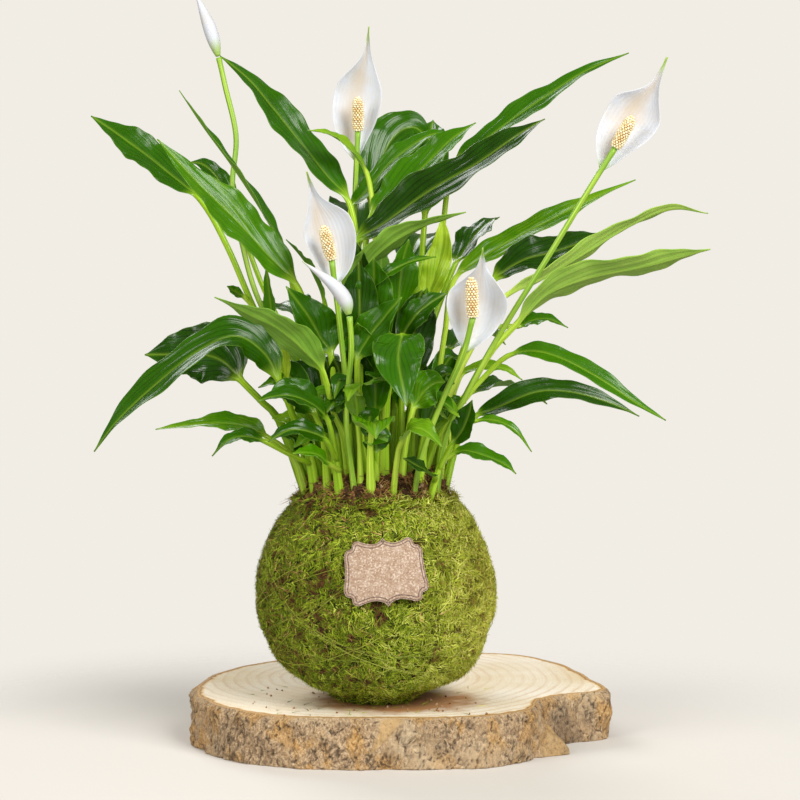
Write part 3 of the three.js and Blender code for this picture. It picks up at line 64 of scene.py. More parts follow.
# The plant's leaves, by the shoot that they grow from: the root in the soil, then for each leaf its
# width, the path's point where the blade starts, how light its green is, which way its upper side
# looks at the blade's foot and at its tip, and the path from the stem to the tip
SHOOTS = {
    "leaf_left_high": ((-38, 9), [
        (27, 4, 0.36, (3, -6, 6), (2, -7, 5), [(-54, 16, 225), (-77, 20, 275), (-93, 28, 311),
            (-110, 34, 340), (-136, 40, 363), (-158, 45, 379), (-180, 50, 393)]),
        (7, 1, 0.6, (4, -6, 3), (4, -6, 3), [(-76, 20, 273), (-82, 17, 280), (-88, 14, 284),
            (-92, 12, 287)]),
        (10, 1, 0.6, (-6, -6, 1), (-6, -6, 1), [(-59, 17, 236), (-63, 13, 255), (-66, 11, 279),
            (-68, 9, 300)]),
    ]),
    "leaf_left_glossy": ((-22, -3), [
        (31, 3, 0.62, (4, -6, 6), (3, -7, 5), [(-28, -7, 208), (-36, -9, 251), (-47, -10, 286),
            (-67, -12, 310), (-86, -14, 331), (-108, -16, 352), (-132, -18, 377)]),
        (14, 1, 0.2, (7, 1, 6), (7, 1, 6), [(-33, -8, 236), (-31, 0, 275), (-37, 2, 295), (-45, 3, 306),
            (-55, 4, 316)]),
    ]),
    "leaf_left_slender": ((-34, 19), [
        (16, 3, 0.42, (7, -2, 6), (7, 1, 6), [(-40, 21, 223), (-49, 22, 268), (-56, 24, 306),
            (-67, 27, 329), (-88, 33, 361), (-108, 40, 387), (-124, 50, 409)]),
    ]),
    "leaf_left_curled": ((-28, 30), [
        (15, 3, 0.3, (3, -6, 5), (-1, -6, 6), [(-46, 40, 228), (-72, 50, 285), (-84, 58, 316),
            (-94, 66, 341), (-102, 69, 355), (-111, 71, 363), (-121, 73, 364)]),
        (26, 2, 0.3, (1, -3, 8), (-4, 2, 7), [(-31, 31, 188), (-50, 52, 215), (-62, 68, 231),
            (-76, 82, 243), (-90, 96, 243), (-104, 110, 229)]),
    ]),
    "leaf_tall": ((-12, 29), [
        (27, 3, 0.38, (5, -6, 5), (4, -6, 5), [(-9, 35, 228), (-10, 41, 288), (-16, 46, 335),
            (-32, 52, 358), (-48, 58, 378), (-65, 64, 399), (-81, 70, 417), (-100, 75, 432)]),
    ]),
    "leaf_hooked": ((0, 21), [
        (11, 4, 0.75, (8, -2, 3), (1, -3, 8), [(0, 33, 233), (0, 42, 293), (-2, 47, 333), (-6, 47, 357),
            (-16, 45, 373), (-29, 43, 382), (-43, 43, 384)]),
    ]),
    "leaf_top_broad": ((10, 28), [
        (35, 3, 0.42, (1, -8, 2), (-2, -7, 5), [(10, 42, 228), (4, 60, 293), (-3, 80, 334), (1, 92, 361),
            (11, 102, 382), (24, 108, 388), (36, 114, 378)]),
    ]),
    "leaf_top_curled": ((0, 32), [
        (18, 3, 0.48, (-5, -5, 6), (-2, -6, 7), [(-1, 44, 228), (-10, 55, 288), (-17, 62, 330),
            (-7, 64, 346), (6, 66, 362), (19, 67, 373), (35, 68, 382), (51, 70, 381)]),
    ]),
    "leaf_top_behind": ((24, 30), [
        (27, 3, 0.4, (0, -8, 4), (0, -4, 8), [(25, 48, 228), (28, 72, 288), (31, 92, 328),
            (33, 110, 361), (35, 124, 383), (37, 140, 393)]),
        (26, 2, 0.28, (-4, -4, 7), (-1, 0, 9), [(25, 49, 231), (40, 62, 273), (50, 72, 298),
            (60, 82, 315), (70, 92, 325), (80, 104, 329)]),
    ]),
    "leaf_right_upright": ((-3, 11), [
        (30, 3, 0.5, (-5, -6, 5), (-4, -6, 6), [(-5, 22, 228), (-7, 29, 288), (-4, 33, 327),
            (12, 40, 346), (31, 47, 364), (46, 52, 378), (63, 57, 389)]),
    ]),
    "leaf_right_dark": ((-12, 5), [
        (33, 3, 0.12, (-5, -6, 5), (-4, -6, 6), [(-15, 8, 223), (-19, 11, 273), (-14, 14, 311),
            (6, 13, 328), (34, 17, 348), (62, 24, 364), (88, 34, 381), (106, 43, 391)]),
    ]),
    "leaf_right_high": ((30, 20), [
        (20, 4, 0.42, (-5, -6, 5), (-3, -6, 6), [(29, 34, 225), (35, 40, 281), (42, 48, 323),
            (48, 56, 359), (65, 62, 376), (86, 69, 392), (108, 76, 407), (134, 85, 423), (163, 95, 435)]),
    ]),
    "leaf_centre_olive": ((-4, -6), [
        (25, 3, 0.6, (-3, 5, 7), (-2, 4, 8), [(-7, -7, 208), (-15, -6, 251), (-18, -4, 280),
            (-10, -6, 297), (6, -8, 313), (28, -10, 325), (55, -16, 333)]),
        (10, 1, 0.4, (-6, -5, 5), (-4, -6, 6), [(-9, -7, 218), (-6, -16, 280), (4, -19, 293),
            (12, -20, 299), (24, -21, 304), (37, -22, 306)]),
    ]),
    "leaf_centre_upright": ((15, 10), [
        (17, 2, 0.88, (-2, -8, 1), (-2, -8, 1), [(22, 10, 218), (30, 9, 271), (36, 8, 293), (41, 8, 313),
            (41, 8, 331)]),
    ]),
    "leaf_centre_slim": ((10, -4), [
        (13, 2, 0.7, (-3, -8, 1), (-3, -8, 1), [(11, -2, 208), (13, -2, 251), (17, -2, 271),
            (21, -2, 287), (24, -2, 303)]),
    ]),
    "leaf_centre_short": ((15, -15), [
        (18, 2, 0.3, (-3, -7, 4), (-3, -7, 4), [(16, -14, 218), (16, -16, 253), (23, -18, 269),
            (33, -19, 278), (44, -20, 284)]),
    ]),
    "leaf_right_second": ((29, 9), [
        (19, 3, 0.66, (-4, -6, 5), (-2, -6, 7), [(37, 14, 218), (43, 18, 258), (48, 22, 289),
            (65, 29, 304), (87, 37, 317), (113, 45, 330), (136, 53, 341), (165, 62, 353)]),
    ]),
    "leaf_right_third": ((38, 6), [
        (27, 3, 0.16, (-4, -7, 5), (-2, -6, 7), [(46, 8, 218), (58, 10, 258), (71, 11, 288),
            (89, 13, 303), (110, 16, 309), (129, 20, 315), (144, 24, 320)]),
        (14, 2, 0.5, (-1, -4, 8), (2, -4, 8), [(57, 10, 255), (72, 22, 261), (89, 30, 261),
            (97, 32, 265), (108, 34, 266), (121, 36, 260)]),
    ]),
    "leaf_right_wavy": ((30, -2), [
        (19, 3, 0.82, (-2, 5, 7), (1, 3, 8), [(44, -3, 216), (61, -4, 253), (77, -3, 279), (104, 1, 294),
            (129, 5, 309), (156, 9, 325), (182, 13, 335), (206, 16, 332)]),
    ]),
    "leaf_right_long": ((37, -11), [
        (26, 4, 0.76, (-3, 5, 6), (-1, 5, 7), [(43, -12, 198), (55, -14, 220), (70, -18, 247),
            (85, -20, 264), (103, -24, 284), (130, -28, 295), (160, -33, 301), (184, -37, 307),
            (201, -40, 311)]),
    ]),
    "leaf_right_arching": ((27, -13), [
        (15, 4, 0.5, (-4, -5, 8), (4, -6, 5), [(36, -17, 191), (56, -22, 221), (69, -26, 236),
            (80, -30, 246), (95, -34, 250), (112, -38, 246), (135, -43, 234), (157, -48, 219),
            (174, -52, 209)]),
        (8, 1, 0.6, (-2, -5, 8), (5, -4, 6), [(40, -18, 198), (60, -24, 206), (73, -27, 207),
            (85, -29, 201), (95, -31, 188)]),
    ]),
    "leaf_right_level": ((40, -3), [
        (19, 2, 0.24, (-2, -6, 7), (3, -6, 6), [(50, 1, 190), (61, 4, 206), (74, 6, 212), (99, 9, 222),
            (121, 10, 222), (145, 11, 215), (164, 12, 206)]),
        (11, 2, 0.74, (-3, -5, 8), (3, -4, 8), [(47, 0, 179), (46, 1, 206), (52, 4, 231), (66, 5, 238),
            (80, 6, 236), (91, 7, 229)]),
    ]),
    "leaf_right_low": ((31, -27), [
        (15, 2, 0.5, (-1, -4, 8), (4, -4, 7), [(39, -32, 179), (47, -36, 187), (55, -38, 190),
            (67, -40, 187), (78, -42, 182), (85, -44, 176)]),
        (16, 1, 0.28, (-5, -7, 2), (-5, -7, 2), [(38, -31, 176), (46, -41, 193), (52, -46, 203),
            (56, -49, 213), (58, -51, 221)]),
        (14, 1, 0.16, (3, -1, 8), (-2, -7, 4), [(36, -30, 170), (36, -43, 175), (28, -52, 181),
            (17, -59, 187)]),
    ]),
    "leaf_front_right": ((10, -38), [
        (19, 2, 0.7, (-2, -3, 8), (3, -5, 6), [(13, -48, 184), (16, -58, 197), (21, -65, 206),
            (30, -70, 205), (40, -74, 195)]),
    ]),
    "leaf_front_olive": ((15, -26), [
        (24, 3, 0.62, (-3, -7, 3), (-1, -8, 3), [(17, -32, 183), (20, -38, 201), (23, -43, 215),
            (28, -46, 225), (35, -48, 231), (42, -50, 232)]),
    ]),
    "leaf_front_bright": ((5, -27), [
        (31, 3, 0.38, (-1, -5, 8), (1, -8, 2), [(6, -30, 208), (11, -38, 245), (16, -48, 259),
            (15, -60, 257), (14, -72, 248), (16, -82, 235), (19, -88, 220)]),
    ]),
    "leaf_front_glossy": ((-5, -22), [
        (24, 2, 0.42, (-4, -7, 3), (-3, -7, 3), [(-9, -25, 198), (-11, -28, 241), (-5, -31, 257),
            (5, -34, 270), (16, -37, 282)]),
    ]),
    "leaf_front_drooping": ((-2, -40), [
        (26, 2, 0.66, (0, 5, 6), (0, -3, 8), [(-3, -45, 187), (-2, -53, 201), (-1, -65, 210),
            (0, -79, 210), (1, -94, 202)]),
    ]),
    "leaf_front_long": ((-14, -26), [
        (23, 3, 0.5, (-2, 5, 8), (-2, 3, 9), [(-19, -30, 196), (-25, -36, 212), (-31, -46, 237),
            (-41, -54, 251), (-56, -64, 265), (-73, -74, 274), (-93, -85, 284)]),
    ]),
    "leaf_left_broad": ((-21, -14), [
        (30, 2, 0.4, (2, -9, 3), (2, -9, 3), [(-24, -16, 208), (-27, -17, 245), (-33, -19, 257),
            (-41, -21, 271), (-54, -24, 288)]),
    ]),
    "leaf_left_drooping": ((-35, -20), [
        (29, 3, 0.3, (-2, -5, 7), (-5, -5, 4), [(-41, -24, 189), (-49, -27, 207), (-57, -30, 228),
            (-67, -34, 249), (-84, -40, 260), (-107, -48, 251), (-133, -56, 230), (-153, -64, 210),
            (-166, -70, 192)]),
        (13, 2, 0.34, (0, -5, 8), (-5, -4, 6), [(-38, -22, 179), (-52, -36, 187), (-66, -41, 195),
            (-77, -43, 199), (-88, -45, 197), (-98, -47, 187)]),
    ]),
    "leaf_left_wide": ((-40, 0), [
        (39, 3, 0.18, (-1, -8, 4), (-1, -8, 4), [(-58, 2, 201), (-71, 5, 216), (-83, 8, 228),
            (-95, 10, 241), (-111, 12, 246), (-128, 14, 245), (-144, 16, 244)]),
    ]),
    "leaf_left_young": ((-30, -8), [
        (16, 2, 0.95, (-4, -6, 3), (2, -7, 4), [(-40, -10, 193), (-54, -12, 225), (-60, -12, 243),
            (-67, -12, 257), (-79, -12, 266)]),
    ]),
    "leaf_left_facing": ((-28, -28), [
        (22, 2, 0.4, (-1, -6, 6), (-2, -7, 4), [(-31, -33, 193), (-36, -38, 211), (-44, -42, 222),
            (-54, -46, 226), (-65, -50, 222)]),
    ]),
    "leaf_left_shoot": ((-20, -35), [
        (17, 2, 0.3, (-1, -5, 7), (-4, -5, 6), [(-25, -41, 191), (-28, -48, 208), (-36, -55, 219),
            (-48, -62, 225), (-60, -68, 225), (-69, -74, 222)]),
        (15, 1, 0.24, (-1, -6, 6), (-4, -6, 5), [(-23, -39, 183), (-29, -54, 197), (-37, -60, 203),
            (-50, -66, 205), (-63, -71, 198)]),
        (13, 1, 0.6, (0, -6, 6), (-3, -6, 5), [(-21, -37, 177), (-27, -57, 183), (-33, -66, 190),
            (-40, -73, 192), (-48, -80, 192)]),
    ]),
    "leaf_left_low": ((-40, -10), [
        (18, 2, 0.66, (-1, -5, 7), (-3, -4, 8), [(-50, -12, 182), (-66, -13, 195), (-77, -14, 202),
            (-92, -16, 205), (-111, -18, 204), (-134, -22, 201)]),
    ]),
    "leaf_back_left": ((-4, 41), [
        (33, 3, 0.4, (1, -5, 8), (0, 2, 9), [(-6, 55, 218), (-9, 75, 265), (-12, 98, 308),
            (-15, 122, 333), (-19, 146, 338), (-24, 168, 328)]),
        (29, 3, 0.34, (1, -4, 8), (-3, 3, 8), [(-5, 46, 188), (-20, 68, 218), (-32, 84, 243),
            (-42, 96, 259), (-55, 112, 271), (-68, 130, 271), (-80, 148, 258)]),
    ]),
    "leaf_back_right": ((7, 40), [
        (32, 3, 0.36, (-1, -5, 8), (1, 3, 9), [(9, 55, 215), (14, 76, 258), (20, 98, 295),
            (26, 122, 315), (33, 148, 317), (40, 172, 303)]),
        (28, 3, 0.44, (-2, -4, 8), (3, 3, 8), [(8, 45, 188), (22, 62, 208), (33, 76, 225), (45, 90, 241),
            (58, 108, 253), (72, 128, 255), (86, 148, 243)]),
    ]),
    "leaf_back_low": ((15, 36), [
        (27, 2, 0.4, (-1, -4, 8), (1, 4, 8), [(20, 56, 189), (26, 80, 206), (30, 104, 215),
            (34, 130, 212), (38, 156, 195)]),
        (27, 2, 0.34, (-3, -3, 8), (3, 3, 8), [(18, 47, 174), (38, 57, 199), (58, 68, 215),
            (77, 81, 222), (95, 94, 219), (112, 108, 206)]),
    ]),
}
# Open blooms: the stalk's root and path, the spathe's width, how deep it cups, the way it looks and
# its path, and the spadix's tip. Closed ones have the roll's width and path instead
BLOOMS = {
    "bloom_top": {
        "stalk": ((-14, 38), [(-13, 50, 218), (-14, 66, 283), (-14, 74, 338), (-12, 76, 384)]),
        "spathe": (31, 0.5, (0, -9, 1), [(-13, 78, 365), (-15, 85, 383), (-12, 89, 405), (-7, 86, 428),
            (-5, 82, 451)]),
        "spadix": (-12, 74, 405),
    },
    "bloom_right": {
        "stalk": ((36, -20), [(42, -25, 193), (54, -30, 221), (69, -35, 249), (86, -40, 278),
            (104, -43, 307), (128, -45, 347), (143, -45, 371)]),
        "spathe": (33, 0.5, (-2, -9, 1), [(135, -42, 358), (144, -35, 373), (156, -31, 389),
            (166, -34, 405), (174, -40, 425)]),
        "spadix": (153, -46, 389),
    },
    "bloom_left": {
        "stalk": ((-12, -16), [(-16, -23, 208), (-21, -30, 261), (-26, -35, 304)]),
        "spathe": (31, 0.55, (1, -9, 1), [(-25, -30, 287), (-25, -24, 303), (-29, -21, 321),
            (-36, -24, 339), (-41, -30, 357)]),
        "spadix": (-31, -37, 324),
    },
    "bloom_front": {
        "stalk": ((22, -33), [(28, -39, 186), (40, -50, 220), (52, -60, 248), (58, -66, 271)]),
        "spathe": (36, 0.45, (0, -9, 1), [(54, -57, 250), (58, -54, 265), (61, -53, 281), (63, -57, 297),
            (64, -61, 312)]),
        "spadix": (57, -68, 294),
    },
}
CLOSED_BLOOMS = {
    "bloom_closed": {
        "stalk": ((-11, -37), [(-17, -44, 203), (-16, -46, 227), (-14, -51, 251), (-15, -54, 271)]),
        "bud": (9, [(-15.4, -54, 272.2), (-18, -54, 281), (-26, -55, 291), (-43, -56, 304)]),
    },
    "bloom_bud": {
        "stalk": ((-24, 21), [(-40, 26, 218), (-72, 35, 273), (-85, 44, 314), (-91, 51, 348),
            (-89, 57, 380), (-96, 61, 412), (-100, 62, 430)]),
        "bud": (8.5, [(-100.4, 62, 431), (-104, 63, 443), (-109, 64, 457), (-115, 66, 471)]),
    },
}
# The slice: its pith, how far apart the growth rings are, its middle and its outline
PITH = (-5, 68)
RING_SPACING = 7.5
SLICE_MIDDLE = (10, 45)
SLICE_OUTLINE = [
    (-112, 7), (-114, 30), (-109, 73), (-90, 108), (-61, 137), (-20, 155), (25, 163), (72, 159),
    (94, 154), (113, 133), (128, 103), (139, 63), (145, 25), (136, 18), (122, 12), (110, 2),
    (101, -7), (98, -26), (91, -41), (76, -54), (42, -63), (5, -64), (-33, -63), (-66, -54),
    (-92, -32), (-104, -12),
]
# The label: where its middle is on the ball and how it leans, half the width and height of the bare
# moss under it, and a quarter of its outline
LABEL_AZIMUTH, LABEL_LATITUDE, LABEL_TURN = (math.radians(value) for value in (-85, 17.7, 4))
LABEL_HOLLOW = (22.5, 15.5)
LABEL_QUARTER = [
    (0, 19.4), (2.4, 17), (6.6, 15.9), (11.3, 16.6), (16, 18.1), (19.1, 16.8), (19.8, 13.8),
    (22.7, 12.7), (24, 9.5), (23.4, 4.7), (23.2, 0),
]


# Shapes and paths
def smoothstep(value):
    held = np.clip(value, 0, 1)
    return held * held * (3 - 2 * held)


def unit(rows):
    return rows / np.linalg.norm(rows, axis=-1, keepdims=True)


def path_points(path, shares):
    """Points on a smooth curve through the path's points, each as far along as its share says."""
    points = np.array(path, float)
    points = np.vstack([2 * points[0] - points[1], points, 2 * points[-1] - points[-2]])
    spans = len(path) - 1
    place = np.clip(np.asarray(shares, float), 0, 1) * spans
    span = np.minimum(place.astype(int), spans - 1)
    t = (place - span)[:, None]
    before, start, end, after = (points[span + step] for step in range(4))
    leave, arrive = (end - before) / 2, (after - start) / 2
    return (
        start + leave * t + (3 * (end - start) - 2 * leave - arrive) * t ** 2
        + (2 * (start - end) + leave + arrive) * t ** 3
    )


def path_length(path):
    return np.linalg.norm(np.diff(path_points(path, np.linspace(0, 1, 60)), axis=0), axis=1).sum()


def path_tangents(path, shares):
    step = 1e-3
    return unit(path_points(path, shares + step) - path_points(path, shares - step))


def ring_faces(rows, count):
    """Faces of a closed body from rings of `count` corners, ends included."""
    faces = []
    for row in range(rows - 1):
        for corner in range(count):
            a = row * count + corner
            b = row * count + (corner + 1) % count
            faces.append((a, b, b + count, a + count))
    faces.append(tuple(reversed(range(count))))
    faces.append(tuple(range((rows - 1) * count, rows * count)))
    return faces


def outward(faces):
    return [tuple(reversed(face)) for face in faces]


def marked_mesh(name, corners, faces, attributes):
    """A mesh from corners in millimetres, with values at its corners for the node trees."""
    mesh = bpy.data.meshes.new(name)
    mesh.from_pydata((np.asarray(corners, float) * MM).tolist(), [], faces)
    for key, values in attributes.items():
        layer = mesh.attributes.new(key, "FLOAT", "POINT")
        layer.data.foreach_set("value", np.asarray(values, np.float32).ravel())
    return mesh


def linked(name, data):
    made = bpy.data.objects.new(name, data)
    bpy.context.scene.collection.objects.link(made)
    return made


def placed(name, mesh, node, smooth):
    """A finished piece of the object."""
    mesh.polygons.foreach_set("use_smooth", [smooth] * len(mesh.polygons))
    mesh.update()
    made = linked(name, mesh)
    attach(made, "root")
    if node:
        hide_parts(node)
    return made


def piece(name, corners, faces, finish, node, attributes=None, uv=None):
    """A finished, smooth piece of the object from corners in millimetres."""
    mesh = marked_mesh(name, corners, faces, attributes or {})
    mesh.materials.append(finish)
    if uv is not None:
        layer = mesh.uv_layers.new(name="UVMap")
        corner_of = np.zeros(len(mesh.loops), np.int32)
        mesh.loops.foreach_get("vertex_index", corner_of)
        layer.data.foreach_set("uv", np.asarray(uv, np.float32)[corner_of].ravel())
    return placed(name, mesh, node, True)


def ball_point(azimuth, latitude, offset):
    """Places on the ball in millimetres, so far outside the solid's surface."""
    reach = np.where(latitude > 0, BALL_TOP, BALL_BOTTOM)
    radius = (BALL_RADIUS + offset) * np.cos(latitude)
    height = BALL_CENTRE + (reach + offset) * np.sin(latitude)
    return np.stack([radius * np.cos(azimuth), radius * np.sin(azimuth), height], axis=-1)


def soil_height(x, y):
    """How high the top of the soil's solid is."""
    away = np.minimum(np.hypot(x, y) / OPENING_RADIUS, 1)
    lumps = np.sin(0.31 * x + 1) * np.cos(0.27 * y) * (1 - away ** 2)
    return OPENING_HEIGHT + 1 + SOIL_CROWN * (1 - away ** 3) + 0.9 * lumps


def soil_shoulder(x, y):
    """How much higher the loose soil is heaped than the solid's, between the stems and the moss."""
    return 9 * np.exp(-((np.hypot(x, y) - 36) / 8) ** 2) - 0.5


def rough(points, scale, octaves=3):
    """Fractal noise about zero at points in millimetres, for lumps about `scale` mm wide."""
    return np.array([noise.fractal(Vector(point) / scale, 1, 2, octaves) for point in points])


# Materials and node trees
def colour(hex_code):
    """An sRGB hex value as linear red, green, blue and alpha."""
    parts = [int(hex_code[at:at + 2], 16) / 255 for at in (1, 3, 5)]
    return (*[p / 12.92 if p <= 0.04045 else ((p + 0.055) / 1.055) ** 2.4 for p in parts], 1)


def connect(tree, node, inputs):
    """Sets a node's inputs or links them. A node as a value means the first of its outputs in use."""
    for key, value in inputs.items():
        if isinstance(value, bpy.types.Node):
            value = next(output for output in value.outputs if output.enabled)
        if isinstance(value, bpy.types.NodeSocket):
            tree.links.new(value, node.inputs[key])
        else:
            node.inputs[key].default_value = value


def add(tree, kind, inputs=None, stops=None, **settings):
    """Adds a node with its settings, its inputs' values or links, and its ramp's stops."""
    made = tree.nodes.new(kind if "Node" in kind else "ShaderNode" + kind)
    for key, value in settings.items():
        setattr(made, key, value)
    connect(tree, made, inputs or {})
    if stops:
        ramp = made.color_ramp
        for place, _ in stops[1:-1]:
            ramp.elements.new(place)
        for element, (place, code) in zip(ramp.elements, stops):
            element.position = place
            element.color = colour(code)
    return made


def material(name, *keys):
    """An empty material, its node tree, the place on the object, and the corner values of these names."""
    made = bpy.data.materials.new(name)
    made.use_nodes = True
    tree = made.node_tree
    tree.nodes.clear()
    values = [add(tree, "Attribute", attribute_name=key).outputs["Fac"] for key in keys]
    return made, tree, add(tree, "TexCoord").outputs["Object"], *values


def surfaced(made, inputs, relief=None):
    """The material with its shader. Relief is a bump's strength, its depth in mm and its height."""
    tree = made.node_tree
    if relief:
        strength, depth, height = relief
        bump = {"Strength": strength, "Distance": depth * MM, "Height": height}
        inputs["Normal"] = add(tree, "Bump", bump)
    add(tree, "OutputMaterial", {"Surface": add(tree, "BsdfPrincipled", inputs)})
    return made


def layered(tree, base, layers):
    """A colour under layers of others, each of which grows as its pattern goes from low to high."""
    for pattern, low, high, most, paint in layers:
        amount = add(tree, "MapRange", {
            "Value": pattern, "From Min": low, "From Max": high, "To Max": most,
        })
        paint = colour(paint) if isinstance(paint, str) else paint
        base = add(tree, "Mix", {0: amount, 6: base, 7: paint}, data_type="RGBA")
    return base


def ripples(tree, across, turns):
    """A wave from -1 to 1, with so many turns for each unit of a coordinate."""
    turn = add(tree, "Math", {0: across, 1: turns * TAU}, operation="MULTIPLY")
    return add(tree, "Math", {0: turn}, operation="SINE")


def waxy_leaf():
    """Living leaf with a waxy cuticle: glossy and deep green above, dull and paler below."""
    made, tree, place, upper, flat, pale, vein, own_tint, broad = material(
        "waxy peace lily leaf", "upper", "flat", "pale", "vein", "tint", "broad",
    )
    # Patches of lighter green, about 15 mm long, and a blade quilted between its veins, about 3 mm wide
    patch, quilt = (
        add(tree, "TexNoise", {"Vector": place, "Scale": scale, "Detail": detail})
        for scale, detail in ((65.0, 3.0), (300.0, 1.0))
    )
    # Painted shade in thin sunken side veins between the pleats, where the blade is broad enough to show
    # them
    wave = ripples(tree, vein, 1)
    shaded_valley = add(tree, "MapRange", {"Value": wave, "From Min": 0.45, "To Max": broad})
    shade = add(tree, "Math", {0: patch, 1: 0.26, 2: -0.13}, operation="MULTIPLY_ADD")
    shade = add(tree, "Math", {0: shaded_valley, 1: -0.1, 2: shade}, operation="MULTIPLY_ADD")
    tint = add(tree, "Math", {0: own_tint, 1: shade}, operation="ADD")
    above = add(tree, "ValToRGB", {"Fac": tint}, [
        (0, "#102800"), (0.2, "#1E4500"), (0.42, "#2E6000"), (0.62, "#407400"), (0.8, "#7CA21C"),
        (1, "#C4DC3A"),
    ])
    below = add(tree, "ValToRGB", {"Fac": tint}, [
        (0, "#3C6214"), (0.35, "#5F8E22"), (0.7, "#8DB646"), (1, "#C6E070"),
    ])
    blade = add(tree, "Mix", {0: upper, 6: below, 7: above}, data_type="RGBA")
    # The stem: yellow-green with long ribs, of another shade on each leaf
    own_ribs = add(tree, "Math", {0: own_tint, 1: 40.0}, operation="MULTIPLY")
    along = add(tree, "Mapping", {"Vector": add(tree, "TexCoord").outputs["UV"], "Scale": (9.0, 3.0, 1.0)})
    ribs = add(tree, "TexNoise", {
        "Vector": along, "W": own_ribs, "Scale": 1.0, "Detail": 3.0,
    }, noise_dimensions="4D")
    stem_tint = add(tree, "Math", {0: own_tint, 1: 0.3, 2: ribs}, operation="MULTIPLY_ADD")
    stem = add(tree, "ValToRGB", {"Fac": stem_tint}, [
        (0.35, "#63950E"), (0.6, "#9AC424"), (0.9, "#D0E45E"),
    ])
    whole = add(tree, "Mix", {0: flat, 6: stem, 7: blade}, data_type="RGBA")
    # Paler on the midrib and the sheath, with a painted highlight along the blade's very edge
    whole = layered(tree, whole, [(pale, 0.0, 1.0, 0.3, "#9CC03C")])
    gloss = add(tree, "MapRange", {"Value": upper, "To Min": 0.5, "To Max": 0.14})
    gloss = add(tree, "Math", {0: patch, 1: 0.16, 2: gloss}, operation="MULTIPLY_ADD")
    relief = add(tree, "Mix", {0: flat, 2: ribs, 3: quilt})
    relief = add(tree, "Math", {0: shaded_valley, 1: -0.5, 2: relief}, operation="MULTIPLY_ADD")
    # Fine veins, about 1 mm apart, which draw the gloss out into streaks
    streak = add(tree, "Math", {0: ripples(tree, vein, 3), 1: broad}, operation="MULTIPLY")
    relief = add(tree, "Math", {0: streak, 1: 0.12, 2: relief}, operation="MULTIPLY_ADD")
    return surfaced(made, {
        "Base Color": whole, "Roughness": gloss, "Specular IOR Level": 0.26, "Subsurface Weight": 0.12,
        "Subsurface Radius": (0.4, 1.0, 0.15), "Subsurface Scale": 2 * MM,
    }, (0.32, 0.3, relief))


def green_stalk():
    """Flower stalk: smooth and firm, yellow-green, darker where the spathe wraps it."""
    made, tree, _, wrapped = material("smooth flower stalk", "wrapped")
    along = add(tree, "Mapping", {"Vector": add(tree, "TexCoord").outputs["UV"], "Scale": (12.0, 4.0, 1.0)})
    ribs = add(tree, "TexNoise", {"Vector": along, "Scale": 1.0, "Detail": 3.0})
    light = add(tree, "ValToRGB", {"Fac": ribs}, [(0.3, "#6C9E22"), (0.7, "#AED044")])
    return surfaced(made, {
        "Base Color": layered(tree, light, [(wrapped, 0.0, 1.0, 1.0, "#86B232")]), "Roughness": 0.42,
        "Subsurface Weight": 0.1, "Subsurface Radius": (0.5, 1.0, 0.2), "Subsurface Scale": 2 * MM,
    }, (0.3, 0.2, ribs))


def white_spathe():
    """Spathe: a thin white bract, so light soaks through it; painted warm shade in its hollow, green at its
    point.
    """
    made, tree, place, green, shaded_hollow, vein, broad = material(
        "white spathe", "green", "shaded_hollow", "vein", "broad",
    )
    # Painted warm shade in the hollow, uneven in patches about 10 mm wide
    cloud = add(tree, "TexNoise", {"Vector": place, "Scale": 100.0, "Detail": 3.0})
    warm_shade = add(tree, "Math", {0: cloud, 1: 1.3, 2: shaded_hollow}, operation="MULTIPLY_ADD")
    white = layered(tree, colour("#D0D5DF"), [
        (warm_shade, 0.65, 1.65, 1.0, "#C7BDB1"), (green, 0.0, 1.0, 1.0, "#A2C25C"),
    ])
    stripe = add(tree, "Math", {0: ripples(tree, vein, 1), 1: broad}, operation="MULTIPLY")
    return surfaced(made, {
        "Base Color": white, "Roughness": 0.5, "Specular IOR Level": 0.35, "Subsurface Weight": 0.25,
        "Subsurface Radius": (1.0, 0.9, 0.7), "Subsurface Scale": 2 * MM,
    }, (0.16, 0.2, stripe))


def tinted(name, stops, roughness, grain, depth=0.4):
    """A dull natural material whose small pieces each have a tint of their own."""
    made, tree, place, own_tint = material(name, "tint")
    fine = add(tree, "TexNoise", {"Vector": place, "Scale": grain, "Detail": 3.0})
    shade = add(tree, "Math", {0: fine, 1: 0.3, 2: -0.15}, operation="MULTIPLY_ADD")
    tint = add(tree, "Math", {0: own_tint, 1: shade}, operation="ADD")
    skin = add(tree, "ValToRGB", {"Fac": tint}, stops)
    inputs = {"Base Color": skin, "Roughness": roughness, "Specular IOR Level": 0.3}
    return surfaced(made, inputs, (0.5, depth, fine))


